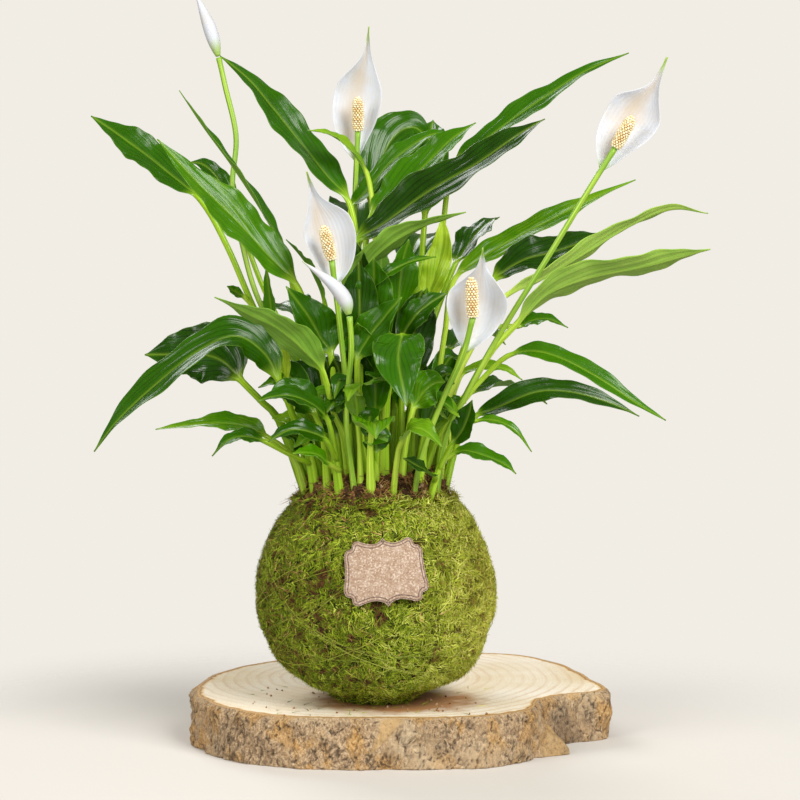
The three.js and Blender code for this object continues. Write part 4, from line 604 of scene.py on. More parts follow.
def living_moss(name, stops, roughness):
    """Sheet moss: dull fibres from straw to deep green, in patches, with dead brown places, and painted
    light that makes it lighter and yellower towards the right.
    """
    made, tree, place, tint = material(name, "tint")
    # Green patches about 20 mm across, and brown ones about 8 mm across
    patch, brown = (
        add(tree, "TexNoise", {"Vector": place, "Scale": scale, "Detail": detail})
        for scale, detail in ((42.0, 3.0), (115.0, 4.0))
    )
    shade = add(tree, "Math", {0: patch, 1: 0.7, 2: -0.35}, operation="MULTIPLY_ADD")
    dead = add(tree, "MapRange", {"Value": brown, "From Min": 0.57, "From Max": 0.68, "To Max": -0.55})
    # Painted light: the moss is lighter and yellower towards the ball's right, and darker towards its left
    side = add(tree, "SeparateXYZ", {"Vector": place}).outputs["X"]
    lit_side = add(tree, "MapRange", {
        "Value": side, "From Min": -0.04, "From Max": 0.075, "To Min": -0.1, "To Max": 0.26,
    })
    for change in (shade, dead, lit_side):
        tint = add(tree, "Math", {0: tint, 1: change}, operation="ADD")
    moss = add(tree, "ValToRGB", {"Fac": tint}, stops)
    # More painted light: a warm yellow over the moss on the ball's right
    moss = layered(tree, moss, [(side, 0.02, 0.08, 0.3, "#B8964A")])
    return surfaced(made, {"Base Color": moss, "Roughness": roughness, "Specular IOR Level": 0.25})


def kraft_card():
    """Kraft card: unbleached pulp pressed flat, with pale and dark flecks about a millimetre across."""
    made, tree, place = material("kraft card")
    cloud, fleck = (
        add(tree, "TexNoise", {"Vector": place, "Scale": scale, "Detail": detail})
        for scale, detail in ((260.0, 4.0), (1000.0, 3.0))
    )
    card = add(tree, "ValToRGB", {"Fac": cloud}, [(0.3, "#9A7F6A"), (0.52, "#A68E7A"), (0.75, "#BAA696")])
    card = layered(tree, card, [(fleck, 0.56, 0.66, 0.65, "#7E604A"), (fleck, 0.46, 0.36, 0.6, "#DCCCBE")])
    return surfaced(made, {"Base Color": card, "Roughness": 0.88}, (0.4, 0.2, fleck))


def printed_line():
    """Ink printed on the card: dark brown, thin enough for the pulp to show through."""
    made, tree, place = material("brown printing ink")
    worn = add(tree, "TexNoise", {"Vector": place, "Scale": 900.0, "Detail": 2.0})
    ink = add(tree, "ValToRGB", {"Fac": worn}, [(0.35, "#4A3B3A"), (0.75, "#93796B")])
    return surfaced(made, {"Base Color": ink, "Roughness": 0.8})


def sawn_wood():
    """Sawn end grain: pale sapwood with growth rings, and a stain of soil round the ball's foot."""
    made, tree, place, inward = material("sawn end grain", "inward")
    centred = add(tree, "Mapping", {"Vector": place, "Location": (-PITH[0] * MM, -PITH[1] * MM, 0.0)})
    # Growth rings, and finer ones between them. The wave repeats each 2 pi / 20 units at scale 1
    rings, fine = (
        add(tree, "TexWave", {
            "Vector": centred, "Scale": TAU / 20 / (RING_SPACING * MM) * finer, "Distortion": bends,
            "Detail": detail, "Detail Scale": size, "Detail Roughness": roughness,
        }, wave_type="RINGS", rings_direction="Z").outputs["Fac"]
        for finer, bends, detail, size, roughness in ((1, 4.5, 4.0, 0.35, 0.6), (3.3, 3.0, 2.0, 0.3, 0.5))
    )
    cloud, pore, faint, ragged, dirt, torn = (
        add(tree, "TexNoise", {"Vector": place, "Scale": scale, "Detail": detail})
        for scale, detail in (
            (22.0, 5.0), (900.0, 2.0), (17.0, 3.0), (60.0, 5.0), (260.0, 3.0), (170.0, 5.0),
        )
    )
    wood = add(tree, "ValToRGB", {"Fac": cloud}, [(0.3, "#E2D0AE"), (0.5, "#ECE1CC"), (0.7, "#F3ECDF")])
    # The rings are plain in some places and faint in others
    plain = add(tree, "MapRange", {
        "Value": faint, "From Min": 0.4, "From Max": 0.62, "To Min": 0.1, "To Max": 0.44,
    })
    # How far a place is from the ball's foot, with a ragged edge
    away = add(tree, "Mapping", {
        "Vector": place, "Location": (-10 * MM, 9 * MM, 0.0), "Scale": (0.8, 1.0, 0.0),
    })
    away = add(tree, "VectorMath", {0: away}, operation="LENGTH")
    away = add(tree, "Math", {0: ragged, 1: -0.035, 2: away}, operation="MULTIPLY_ADD")
    # The bark's cut edge: a ragged tan line, darker where it meets the wood
    torn = add(tree, "Math", {0: torn, 1: 0.7, 2: -0.35}, operation="MULTIPLY_ADD")
    inward = add(tree, "Math", {0: inward, 1: torn}, operation="ADD")
    edge = add(tree, "ValToRGB", {"Fac": inward}, [
        (0, "#A08458"), (0.25, "#C79C60"), (0.42, "#8A6640"), (0.52, "#CDA66E"), (0.7, "#E3C795"),
        (1, "#E9D6B2"),
    ])
    wood = layered(tree, wood, [
        (rings, 0.6, 1.0, plain, "#CBA57A"), (fine, 0.7, 1.0, 0.16, "#D8BC92"),
        # Pores, drawn as coarse as 1 mm so that they show
        (pore, 0.5, 0.7, 0.4, "#C9AE84"),
        # Brown with soil round the ball's foot, and small flecks of dirt, 1 to 2 mm wide
        (away, 0.03, 0.012, 0.9, "#A0682A"), (dirt, 0.68, 0.76, 0.6, "#9A7040"),
        (inward, 0.84, 0.64, 1.0, edge),
    ])
    relief = add(tree, "Math", {0: rings, 1: 0.6, 2: pore}, operation="MULTIPLY_ADD")
    return surfaced(made, {"Base Color": wood, "Roughness": 0.72}, (0.35, 0.4, relief))


def rough_bark():
    """Bark: weathered grey-tan plates with sharp ledges, orange-tan cork, and painted shade in its cracks,
    pits and hollows.
    """
    made, tree, place, crack, scar = material("rough tree bark", "crack", "scar")
    tall = add(tree, "Mapping", {"Vector": place, "Scale": (1.0, 1.0, 0.7)})
    # Plates about 9 mm wide with bent edges, which lean a little
    swirl = add(tree, "TexNoise", {"Vector": place, "Scale": 230.0, "Detail": 2.0})
    bent = add(tree, "VectorMath", {
        0: swirl.outputs["Color"], 1: (5 * MM, 5 * MM, 5 * MM), 2: place,
    }, operation="MULTIPLY_ADD")
    leaning = add(tree, "Mapping", {"Vector": bent, "Rotation": (0.0, 0.5, 0.0), "Scale": (1.0, 1.0, 0.7)})
    plate, edge = (
        add(tree, "TexVoronoi", {"Vector": leaning, "Scale": 110.0}, feature=feature)
        for feature in ("F1", "DISTANCE_TO_EDGE")
    )
    # Flakes about 1.5 mm wide, patches of cork about 15 mm wide, weathering about 25 mm wide, and pits
    grain, cork, weather, shaded_pit = (
        add(tree, "TexNoise", {"Vector": where, "Scale": scale, "Detail": detail, "Roughness": roughness})
        for where, scale, detail, roughness in (
            (tall, 700.0, 8.0, 0.85), (tall, 62.0, 6.0, 0.5), (place, 38.0, 4.0, 0.5),
            (tall, 330.0, 3.0, 0.5),
        )
    )
    grey = add(tree, "ValToRGB", {"Fac": grain}, [
        (0.38, "#54402E"), (0.45, "#A28464"), (0.54, "#CCB08A"), (0.64, "#F2E0C2"),
    ])
    tan = add(tree, "ValToRGB", {"Fac": grain}, [(0.38, "#7E5428"), (0.5, "#CA984E"), (0.64, "#F0CE94")])
    crack_shade_amount = add(tree, "MapRange", {"Value": swirl, "From Min": 0.52, "From Max": 0.64, "To Max": 0.9})
    bark = layered(tree, grey, [
        (cork, 0.49, 0.58, 0.8, tan), (weather, 0.5, 0.68, 0.55, "#DECAA8"),
        # Each plate has a tone of its own, and painted shade lies as dark cracks under some of the plates'
        # edges
        (plate.outputs["Color"], 0.3, 0.8, 0.4, "#BA9C78"), (edge, 0.07, 0.01, crack_shade_amount, "#4A382A"),
        # Painted shade in small pits, 1 to 2 mm wide, and in the cracks and hollows that the mesh has
        (shaded_pit, 0.38, 0.28, 0.8, "#3C2C20"), (crack, 0.0, 1.0, 1.0, "#45362A"),
        # Bare wood shows through what is left of the bark on a scar
        (grain, 0.38, 0.46, scar, "#D6B27C"),
    ])
    step = add(tree, "MapRange", {"Value": edge, "From Max": 0.12})
    relief = add(tree, "Math", {0: step, 1: 0.3, 2: grain}, operation="MULTIPLY_ADD")
    return surfaced(made, {"Base Color": bark, "Roughness": 0.9}, (0.9, 2.0, relief))


leaf_finish = waxy_leaf()
stalk_finish = green_stalk()
spathe_finish = white_spathe()
# Cream florets, and the tan gaps between them
floret_finish = tinted("cream floret", [(0, "#D8B878"), (0.4, "#F0DFAE"), (1, "#FBF3D8")], 0.6, 900.0)
gap_finish = tinted("tan spadix core", [(0, "#8A5A1E"), (1, "#C08E48")], 0.7, 700.0)
moss_finish = living_moss("living sheet moss", [
    (0, "#54341A"), (0.14, "#80602E"), (0.24, "#46560C"), (0.44, "#6C8210"), (0.64, "#93A61E"),
    (0.84, "#B6C43C"), (1, "#D8DC74"),
], 0.75)
bed_finish = living_moss("shaded moss", [
    (0, "#2C1D10"), (0.3, "#282E08"), (0.6, "#444C0E"), (1, "#7E8420"),
], 0.9)
# Moist soil in crumbs, dry root fibre, and bark chips
soil_finish = tinted("crumbly soil", [(0, "#1C1108"), (0.5, "#4A301C"), (1, "#8A6640")], 0.95, 500.0, 1.0)
fibre_finish = tinted("dry root fibre", [(0, "#5E3E20"), (0.5, "#94683A"), (1, "#D0A870")], 0.8, 400.0)
chip_finish = tinted("bark chip", [(0, "#5E3D26"), (0.5, "#93663E"), (1, "#D9C6A8")], 0.85, 260.0, 1.0)
# Green garden thread, which the moss half hides
thread_finish = tinted("green binding thread", [(0, "#5E6C18"), (1, "#A0A83C")], 0.6, 300.0)
card_finish = kraft_card()
ink_finish = printed_line()
wood_finish = sawn_wood()
bark_finish = rough_bark()


# Growth: geometry node trees for what repeats over a surface or along a path
def growth(name, sizes):
    """A tree with named inputs, and the sockets that give them inside it."""
    tree = bpy.data.node_groups.new(name, "GeometryNodeTree")
    tree.interface.new_socket("Geometry", in_out="INPUT", socket_type="NodeSocketGeometry")
    for label, value in sizes.items():
        kind = "NodeSocketInt" if isinstance(value, int) else "NodeSocketFloat"
        tree.interface.new_socket(label, in_out="INPUT", socket_type=kind).default_value = value
    tree.interface.new_socket("Geometry", in_out="OUTPUT", socket_type="NodeSocketGeometry")
    return tree, add(tree, "NodeGroupInput").outputs


def close_growth(tree, geometry, finish):
    """The tree, with its geometry made real and given its finish."""
    real = add(tree, "GeometryNodeRealizeInstances", {0: geometry})
    dressed = add(tree, "GeometryNodeSetMaterial", {"Geometry": real, "Material": finish})
    add(tree, "NodeGroupOutput", {0: dressed})
    return tree


# These inputs of the trees are lengths, which the tables below give in millimetres
LENGTHS = ("Length", "Width", "Lift", "Size")


def grown(name, guide, tree, row, node=None):
    """The piece that a tree grows on a guide mesh. The row sets the tree's first inputs in order."""
    modifier = guide.modifiers.new(tree.name, "NODES")
    modifier.node_group = tree
    inputs = [item for item in tree.interface.items_tree if item.in_out == "INPUT"]
    for item, value in zip(inputs[1:], row):
        modifier[item.identifier] = value * MM if item.name in LENGTHS else value
    graph = bpy.context.evaluated_depsgraph_get()
    mesh = bpy.data.meshes.new_from_object(
        guide.evaluated_get(graph), preserve_all_data_layers=True, depsgraph=graph,
    )
    guide.modifiers.remove(modifier)
    mesh.name = name
    return placed(name, mesh, node, False)


def spread_over(tree, given):
    """Points over the guide's faces that are marked as outer ones."""
    outer = add(tree, "GeometryNodeInputNamedAttribute", {"Name": "outer"}, data_type="FLOAT")
    chosen = add(tree, "FunctionNodeCompare", {0: outer, 1: 0.5}, operation="GREATER_THAN")
    return add(tree, "GeometryNodeDistributePointsOnFaces", {
        "Mesh": given["Geometry"], "Selection": chosen, "Density": given["Density"], "Seed": given["Seed"],
    })


def drawn_turn(tree, given, least, most, combed=(0.0, 0.0, 0.0)):
    """A rotation for each point, drawn between two vectors of angles, on top of how it is combed."""
    angles = add(tree, "FunctionNodeRandomValue", {
        0: least, 1: most, "Seed": given["Seed"],
    }, data_type="FLOAT_VECTOR")
    angles = add(tree, "VectorMath", {0: angles, 1: combed}, operation="ADD")
    return add(tree, "FunctionNodeEulerToRotation", {0: angles})


def scatter(tree, given, points, forms, rotation, small, large, finish):
    """One of the forms on each point, each with a size and a tint of its own."""
    choice = add(tree, "GeometryNodeJoinGeometry")
    for form in forms:
        connect(tree, choice, {0: add(tree, "GeometryNodeGeometryToInstance", {0: form})})
    pick_seed, size_seed, tint_seed = (
        add(tree, "Math", {0: given["Seed"], 1: shift}, operation="ADD") for shift in (1.0, 2.0, 3.0)
    )
    pick = add(tree, "FunctionNodeRandomValue", {
        4: 0, 5: len(forms) - 1, "Seed": pick_seed,
    }, data_type="INT")
    size = add(tree, "FunctionNodeRandomValue", {
        0: small, 1: large, "Seed": size_seed,
    }, data_type="FLOAT_VECTOR")
    tint = add(tree, "FunctionNodeRandomValue", {
        2: given["Darkest"], 3: given["Lightest"], "Seed": tint_seed,
    })
    placed_forms = add(tree, "GeometryNodeInstanceOnPoints", {
        "Points": points, "Instance": choice, "Pick Instance": True, "Instance Index": pick,
        "Rotation": rotation, "Scale": size,
    })
    stored = add(tree, "GeometryNodeStoreNamedAttribute", {
        "Geometry": placed_forms, "Name": "tint", "Value": tint,
    }, data_type="FLOAT", domain="INSTANCE")
    return close_growth(tree, stored, finish)


# How far the tips of the four strand forms lean and sway, as shares of their length
STRAND_BENDS = ((0.1, 0.05), (0.35, -0.1), (-0.25, 0.2), (0.55, 0.15))


def strand_growth(name, finish):
    """Strands that leave a surface at a slant: moss fronds, and root fibres in soil."""
    tree, given = growth(name, {
        "Seed": 1, "Density": 3e5, "Length": 8 * MM, "Width": 0.8 * MM, "Least slant": 1.0,
        "Most slant": 1.4, "Darkest": 0.2, "Lightest": 0.9, "Lift": 0.0, "Curl": 0.0, "Segments": 2,
    })
    spread = spread_over(tree, given)
    lift = add(tree, "VectorMath", {0: spread.outputs["Normal"], "Scale": given["Lift"]}, operation="SCALE")
    points = add(tree, "GeometryNodeSetPosition", {"Geometry": spread, "Offset": lift})
    radius = add(tree, "Math", {0: given["Width"], 1: 0.5}, operation="MULTIPLY")
    forms = []
    for lean, sway in STRAND_BENDS:
        strand = add(tree, "GeometryNodeMeshCone", {
            "Vertices": 3, "Side Segments": given["Segments"], "Radius Top": 0.0,
            "Radius Bottom": radius, "Depth": given["Length"],
        }, fill_type="NGON")
        place = add(tree, "SeparateXYZ", {0: add(tree, "GeometryNodeInputPosition")})
        share = add(tree, "Math", {0: place.outputs["Z"], 1: given["Length"]}, operation="DIVIDE")
        square = add(tree, "Math", {0: share, 1: 2.0}, operation="POWER")
        turn = add(tree, "Math", {0: share, 1: 9.0 + 20 * sway}, operation="MULTIPLY")
        wriggle = add(tree, "Math", {0: turn}, operation="SINE")
        wriggle = add(tree, "Math", {0: wriggle, 1: given["Curl"]}, operation="MULTIPLY")
        side = add(tree, "Math", {0: square, 1: lean, 2: wriggle}, operation="MULTIPLY_ADD")
        front = add(tree, "Math", {0: square, 1: sway}, operation="MULTIPLY")
        bend = add(tree, "CombineXYZ", {"X": side, "Y": front})
        bend = add(tree, "VectorMath", {0: bend, "Scale": given["Length"]}, operation="SCALE")
        forms.append(add(tree, "GeometryNodeSetPosition", {"Geometry": strand, "Offset": bend}))
    # Neighbours lie much the same way, in tufts about 15 mm wide
    combed = add(tree, "TexNoise", {"Scale": 60.0, "Detail": 1.0})
    combed = add(tree, "Math", {0: combed, 1: 5 * TAU}, operation="MULTIPLY")
    combed = add(tree, "CombineXYZ", {"Z": combed})
    least = add(tree, "CombineXYZ", {"X": given["Least slant"], "Z": -0.9})
    most = add(tree, "CombineXYZ", {"X": given["Most slant"], "Z": 0.9})
    rotation = add(tree, "FunctionNodeRotateRotation", {
        0: spread.outputs["Rotation"], 1: drawn_turn(tree, given, least, most, combed),
    }, rotation_space="LOCAL")
    return scatter(tree, given, points, forms, rotation, (0.7, 0.5, 0.6), (1.6, 1.0, 1.5), finish)


def crumb_growth(name, finish):
    """Crumbs that lie on a surface, turned every way."""
    tree, given = growth(name, {
        "Seed": 1, "Density": 2e5, "Size": 1 * MM, "Darkest": 0.0, "Lightest": 1.0,
    })
    spread = spread_over(tree, given)
    crumb = add(tree, "GeometryNodeMeshIcoSphere", {"Radius": given["Size"], "Subdivisions": 1})
    turned = drawn_turn(tree, given, (0.0, 0.0, 0.0), (TAU, TAU, TAU))
    return scatter(tree, given, spread, [crumb], turned, (0.3, 0.3, 0.25), (1.3, 1.0, 0.8), finish)


def floret_growth(name, finish):
    """A floret on each corner of a spadix's core, looking outwards."""
    tree, given = growth(name, {"Seed": 1, "Size": 0.82 * MM, "Darkest": 0.2, "Lightest": 1.0})
    bud = add(tree, "GeometryNodeMeshIcoSphere", {"Radius": given["Size"], "Subdivisions": 2})
    outwards = add(tree, "FunctionNodeAlignRotationToVector", {
        "Vector": add(tree, "GeometryNodeInputNormal"),
    }, axis="Z")
    return scatter(
        tree, given, given["Geometry"], [bud], outwards, (0.8, 0.8, 0.7), (1.1, 1.1, 1.3), finish,
    )


def winding_growth(name, finish):
    """A thread wound round the ball on great circles that lean every way."""
    tree, given = growth(name, {
        "Seed": 1, "Turns": 11, "Thickness": 0.35 * MM, "Least lean": 0.4, "Most lean": 0.85,
        "Lift": 2.0 * MM, "Depth": -1.1 * MM,
    })
    circle = add(tree, "GeometryNodeCurvePrimitiveCircle", {"Resolution": 150, "Radius": 1.0})
    turns = add(tree, "GeometryNodePoints", {"Count": given["Turns"]})
    least = add(tree, "CombineXYZ", {"X": given["Least lean"]})
    most = add(tree, "CombineXYZ", {"X": given["Most lean"], "Z": TAU})
    loops = add(tree, "GeometryNodeInstanceOnPoints", {
        "Points": turns, "Instance": circle, "Rotation": drawn_turn(tree, given, least, most),
    })
    loops = add(tree, "GeometryNodeStoreNamedAttribute", {
        "Geometry": loops, "Name": "tint", "Value": add(tree, "FunctionNodeRandomValue", {2: 0.1, 3: 1.0}),
    }, data_type="FLOAT", domain="INSTANCE")
    loops = add(tree, "GeometryNodeRealizeInstances", {0: loops})
    place = add(tree, "GeometryNodeInputPosition")
    height = add(tree, "SeparateXYZ", {0: place}).outputs["Z"]
    above = add(tree, "FunctionNodeCompare", {0: height, 1: 0.0}, operation="GREATER_THAN")
    reach = add(tree, "GeometryNodeSwitch", {
        0: above, 1: BALL_BOTTOM * MM, 2: BALL_TOP * MM,
    }, input_type="FLOAT")
    uneven = add(tree, "TexNoise", {"Vector": place, "Scale": 6.0, "Detail": 1.0})
    lift = add(tree, "Math", {0: uneven, 1: given["Lift"], 2: given["Depth"]}, operation="MULTIPLY_ADD")
    wide = add(tree, "Math", {0: lift, 1: BALL_RADIUS * MM}, operation="ADD")
    high = add(tree, "Math", {0: lift, 1: reach}, operation="ADD")
    size = add(tree, "CombineXYZ", {"X": wide, "Y": wide, "Z": high})
    wound = add(tree, "VectorMath", {
        0: place, 1: size, 2: (0.0, 0.0, BALL_CENTRE * MM),
    }, operation="MULTIPLY_ADD")
    loops = add(tree, "GeometryNodeSetPosition", {"Geometry": loops, "Position": wound})
    half = add(tree, "Math", {0: given["Thickness"], 1: 0.5}, operation="MULTIPLY")
    section = add(tree, "GeometryNodeCurvePrimitiveCircle", {"Resolution": 4, "Radius": half})
    tubes = add(tree, "GeometryNodeCurveToMesh", {"Curve": loops, "Profile Curve": section})
    return close_growth(tree, tubes, finish)


# Leaves. Across a blade the corners are closer at the midrib and at the edges.
HALF_ACROSS = np.array([0, 0.05, 0.11, 0.18, 0.27, 0.36, 0.46, 0.56, 0.66, 0.76, 0.85, 0.92, 0.97, 1])
ACROSS = np.concatenate([-HALF_ACROSS[:0:-1], HALF_ACROSS])
# Half the blade's thickness at its middle, and how far apart its rows of corners are, in millimetres
LAMINA = 0.28
STEM_STEP, BLADE_STEP = 8, 3
# How much of its width a blade's edge waves by, how often along it, and the pleats from the midrib to
# the edge, with how many of them their lean towards the tip takes up
EDGE_WAVE, WAVES = 0.07, 2.6
PLEATS, PLEAT_LEAN = 2.4, 2.6


def blade_shape(share):
    """How wide a blade is along its length, as a share of its widest, which is at 0.4."""
    return share ** 0.8 * (1 - share) ** 1.2 / (0.4 ** 0.8 * 0.6 ** 1.2)


def blade_rings(path, shares, faces, x, top, bottom):
    """Rings over a blade's upper side and back under it, each corner's x, and how far across it is."""
    points, tangents = path_points(path, shares), path_tangents(path, shares)
    normals = unit(faces - tangents * (faces * tangents).sum(axis=1, keepdims=True))
    sides = np.cross(tangents, normals)
    xs = np.concatenate([x, x[:, -2:0:-1]], axis=1)
    zs = np.concatenate([top, bottom[:, -2:0:-1]], axis=1)
    corners = points[:, None] + xs[..., None] * sides[:, None] + zs[..., None] * normals[:, None]
    across = np.concatenate([ACROSS, ACROSS[-2:0:-1]]) * np.ones((len(shares), 1))
    return corners.reshape(-1, 3), xs, across


def leaf_body(width, base, tint, face, tip_face, path, rooted):
    """One leaf: a round stem that opens into a blade with a midrib, pleats and a wavy edge."""
    start = base / (len(path) - 1)
    length = path_length(path)
    stem_rows = max(4, round(length * start / STEM_STEP))
    blade_rows = max(22, round(length * (1 - start) / BLADE_STEP))
    shares = np.concatenate([
        np.linspace(0, start, stem_rows, endpoint=False), np.linspace(start, 1, blade_rows + 1),
    ])
    share = np.clip((shares - start) / (1 - start), 0, 1)[:, None]
    faces = unit(np.array(face, float)) * (1 - share) + unit(np.array(tip_face, float)) * share
    # A wider blade has a thicker stem, in millimetres
    stem = (2.7 + width / 26) / 2
    # The sheath that a stem opens into at its root
    sheath = 0.85 * (1 - smoothstep(shares / 0.25))[:, None] * rooted
    # The stem flattens where the blade starts
    flat = smoothstep(share / 0.12)
    reach = width / 2 * blade_shape(share)
    half = np.hypot(reach, stem * math.cos(math.pi / 6) * (1 - 0.8 * share))
    wave = width * EDGE_WAVE * blade_shape(share)
    phase = WAVES * TAU * share + path[0][0] + width
    lift = reach * 0.11
    u = ACROSS[None, :]
    away = np.abs(u)
    edge = lift + wave * np.sin(np.where(u < 0, phase, phase + 2.2))
    bow = -lift + (edge + lift) * away ** 1.3
    bow = bow + 0.4 * wave * away ** 2.5 * np.sin(2.7 * phase + 2 * np.sign(u))
    pleats = PLEATS * away ** 0.8 - PLEAT_LEAN * share
    bow = bow + 0.5 * np.minimum(half / 15, 1) * np.sin(TAU * pleats) * away ** 0.5 * (1 - away ** 4)
    round_x = stem * (1 + sheath) * np.sin(math.pi / 2 * u)
    round_z = stem * (1 + 0.2 * sheath) * np.cos(math.pi / 2 * u)
    x = round_x + (half * u - round_x) * flat
    taper = np.where(away < 1, 1, 0)
    # The midrib is a groove above and a ridge below
    lamina = LAMINA * np.clip(half / 7, 0.2, 1)
    groove = 0.7 * np.exp(-(x / 1.1) ** 2) * np.minimum(half / 8, 1)
    ridge = (1.3 - 0.8 * share) * np.exp(-(x / 1.3) ** 2)
    top = round_z + (bow + (lamina - groove) * taper - round_z) * flat
    bottom = -round_z + (bow - (lamina + ridge) * taper + round_z) * flat
    corners, xs, across = blade_rings(path, shares, faces, x, top, bottom)
    rows, ring = xs.shape
    upper = np.ones((rows, ring)) * (np.arange(ring) < len(ACROSS))
    upper[:, [0, len(ACROSS) - 1]] = 0.5
    all_round = np.ones((1, ring))
    return corners, ring_faces(rows, ring), {
        "tint": np.full((rows, ring), tint),
        "vein": 2 * (PLEATS * np.abs(across) ** 0.8 - PLEAT_LEAN * share),
        "upper": upper, "flat": flat * all_round, "broad": smoothstep((half - 3.5) / 9) * all_round,
        # A pale midrib and sheath, and a painted highlight along the blade's very edge
        "pale": np.maximum(np.exp(-(xs / 0.8) ** 2), 0.4 * np.abs(across) ** 30) * flat + sheath,
    }, np.stack([(across + 1) / 2, shares[:, None] * all_round], axis=-1).reshape(-1, 2)


def joined(name, bodies, finish, node):
    """One piece from bodies that touch: corners, faces, attributes and surface coordinates."""
    faces, start = [], 0
    for body in bodies:
        faces.extend(tuple(corner + start for corner in face) for face in body[1])
        start += len(body[0])
    attributes = {key: np.concatenate([body[2][key].ravel() for body in bodies]) for key in bodies[0][2]}
    corners, uv = (np.vstack([body[part] for body in bodies]) for part in (0, 3))
    return piece(name, corners, faces, finish, node, attributes, uv)


def in_soil(root):
    """Where a stem's foot is, some way down in the soil."""
    return (*root, soil_height(*root) - ROOT_DEPTH)


for name, (root, leaves) in SHOOTS.items():
    bodies = []
    for number, (width, base, tint, face, tip_face, path) in enumerate(leaves):
        whole = [in_soil(root), *path] if number == 0 else path
        bodies.append(leaf_body(width, base, tint, face, tip_face, whole, number == 0))
    joined(f"{name}_blade", bodies, leaf_finish, name)


# Young leaves that fill the plant's middle: low ones that lean out, and tall ones in their shade
def young_leaf(draw, low):
    spin = draw.uniform(0, TAU)
    start = draw.uniform(29, 39) if low else draw.uniform(4, 24)
    height = draw.uniform(32, 82) if low else draw.uniform(70, 150)
    lean = draw.uniform(14, 36) if low else draw.uniform(2, 18)
    out = np.array([math.cos(spin), math.sin(spin), 0])
    root = out[:2] * start
    ground = np.array([*root, soil_height(*root)])
    bend = draw.uniform(0.55, 0.98) if low else 1.12
    path = [in_soil(root)]
    for share, rise in ((0.08, 0.4), (0.3, 0.72), (0.62, 0.95), (1.0, 0.5 + 0.5 * bend)):
        path.append(tuple(ground + out * lean * share + np.array([0, 0, height * rise])))
    face = out * (0.5 if low else 0.6) + [draw.uniform(-0.4, 0.4), -0.5, 0.8 if low else 0.25]
    width = draw.uniform(13, 20) if low else draw.uniform(17, 27)
    # The tall inner leaves are painted a darker green, as shade
    tint = draw.uniform(0.2, 0.75) if low else draw.uniform(0.05, 0.5)
    return leaf_body(width, 1.7 if low else 1.4, tint, face, face, path, True)


# The number of leaves is also the seed of their draws
for name, number, low in (("young_low_leaves", 34, True), ("young_inner_leaves", 22, False)):
    draw = random.Random(number)
    joined(name, [young_leaf(draw, low) for _ in range(number)], leaf_finish, None)


# Blooms
STALK_SIDES = 14
STALK_STEP = 5
SPATHE_ROWS = 46
BUD_ROWS, BUD_SIDES = 40, 30
FLORET_ROWS, FLORET_ROUND = 15, 10
SPADIX_GAP = 3 * GAP
# How far down its stalk an open spathe and a closed one are wrapped, in millimetres
OPEN_WRAP, CLOSED_WRAP = 22, 2


def circle_angles(sides):
    return np.linspace(0, TAU, sides, endpoint=False)


def tube(path, shares, radii, sides):
    """Corners of rings round a path, which all lie the same way round."""
    tangents = path_tangents(path, shares)
    across = unit(np.cross([0.0, 1.0, 0.0], tangents))
    front = np.cross(tangents, across)
    spin = circle_angles(sides)[None, :, None]
    radii = np.asarray(radii, float).reshape(len(shares), -1, 1)
    around = across[:, None] * np.cos(spin) + front[:, None] * np.sin(spin)
    return (path_points(path, shares)[:, None] + radii * around).reshape(-1, 3)


def stalk_piece(name, root, points, wrap):
    path = [in_soil(root), *points]
    length = path_length(path)
    shares = np.linspace(0, 1, max(14, round(length / STALK_STEP)))
    left = (1 - shares) * length
    # A little thicker at the root, and where the spathe leaves it
    radii = STALK_RADIUS * (1 + 0.3 * (1 - smoothstep(shares / 0.15)) + 0.12 * np.exp(-(left / 6) ** 2))
    wrapped = np.repeat(1 - smoothstep((left - wrap) / 4), STALK_SIDES)
    surface = [(place / STALK_SIDES, share) for share in shares for place in range(STALK_SIDES)]
    piece(f"{name}_stalk_tube", tube(path, shares, radii, STALK_SIDES),
          ring_faces(len(shares), STALK_SIDES), stalk_finish, f"{name}_stalk",
          {"wrapped": wrapped}, surface)


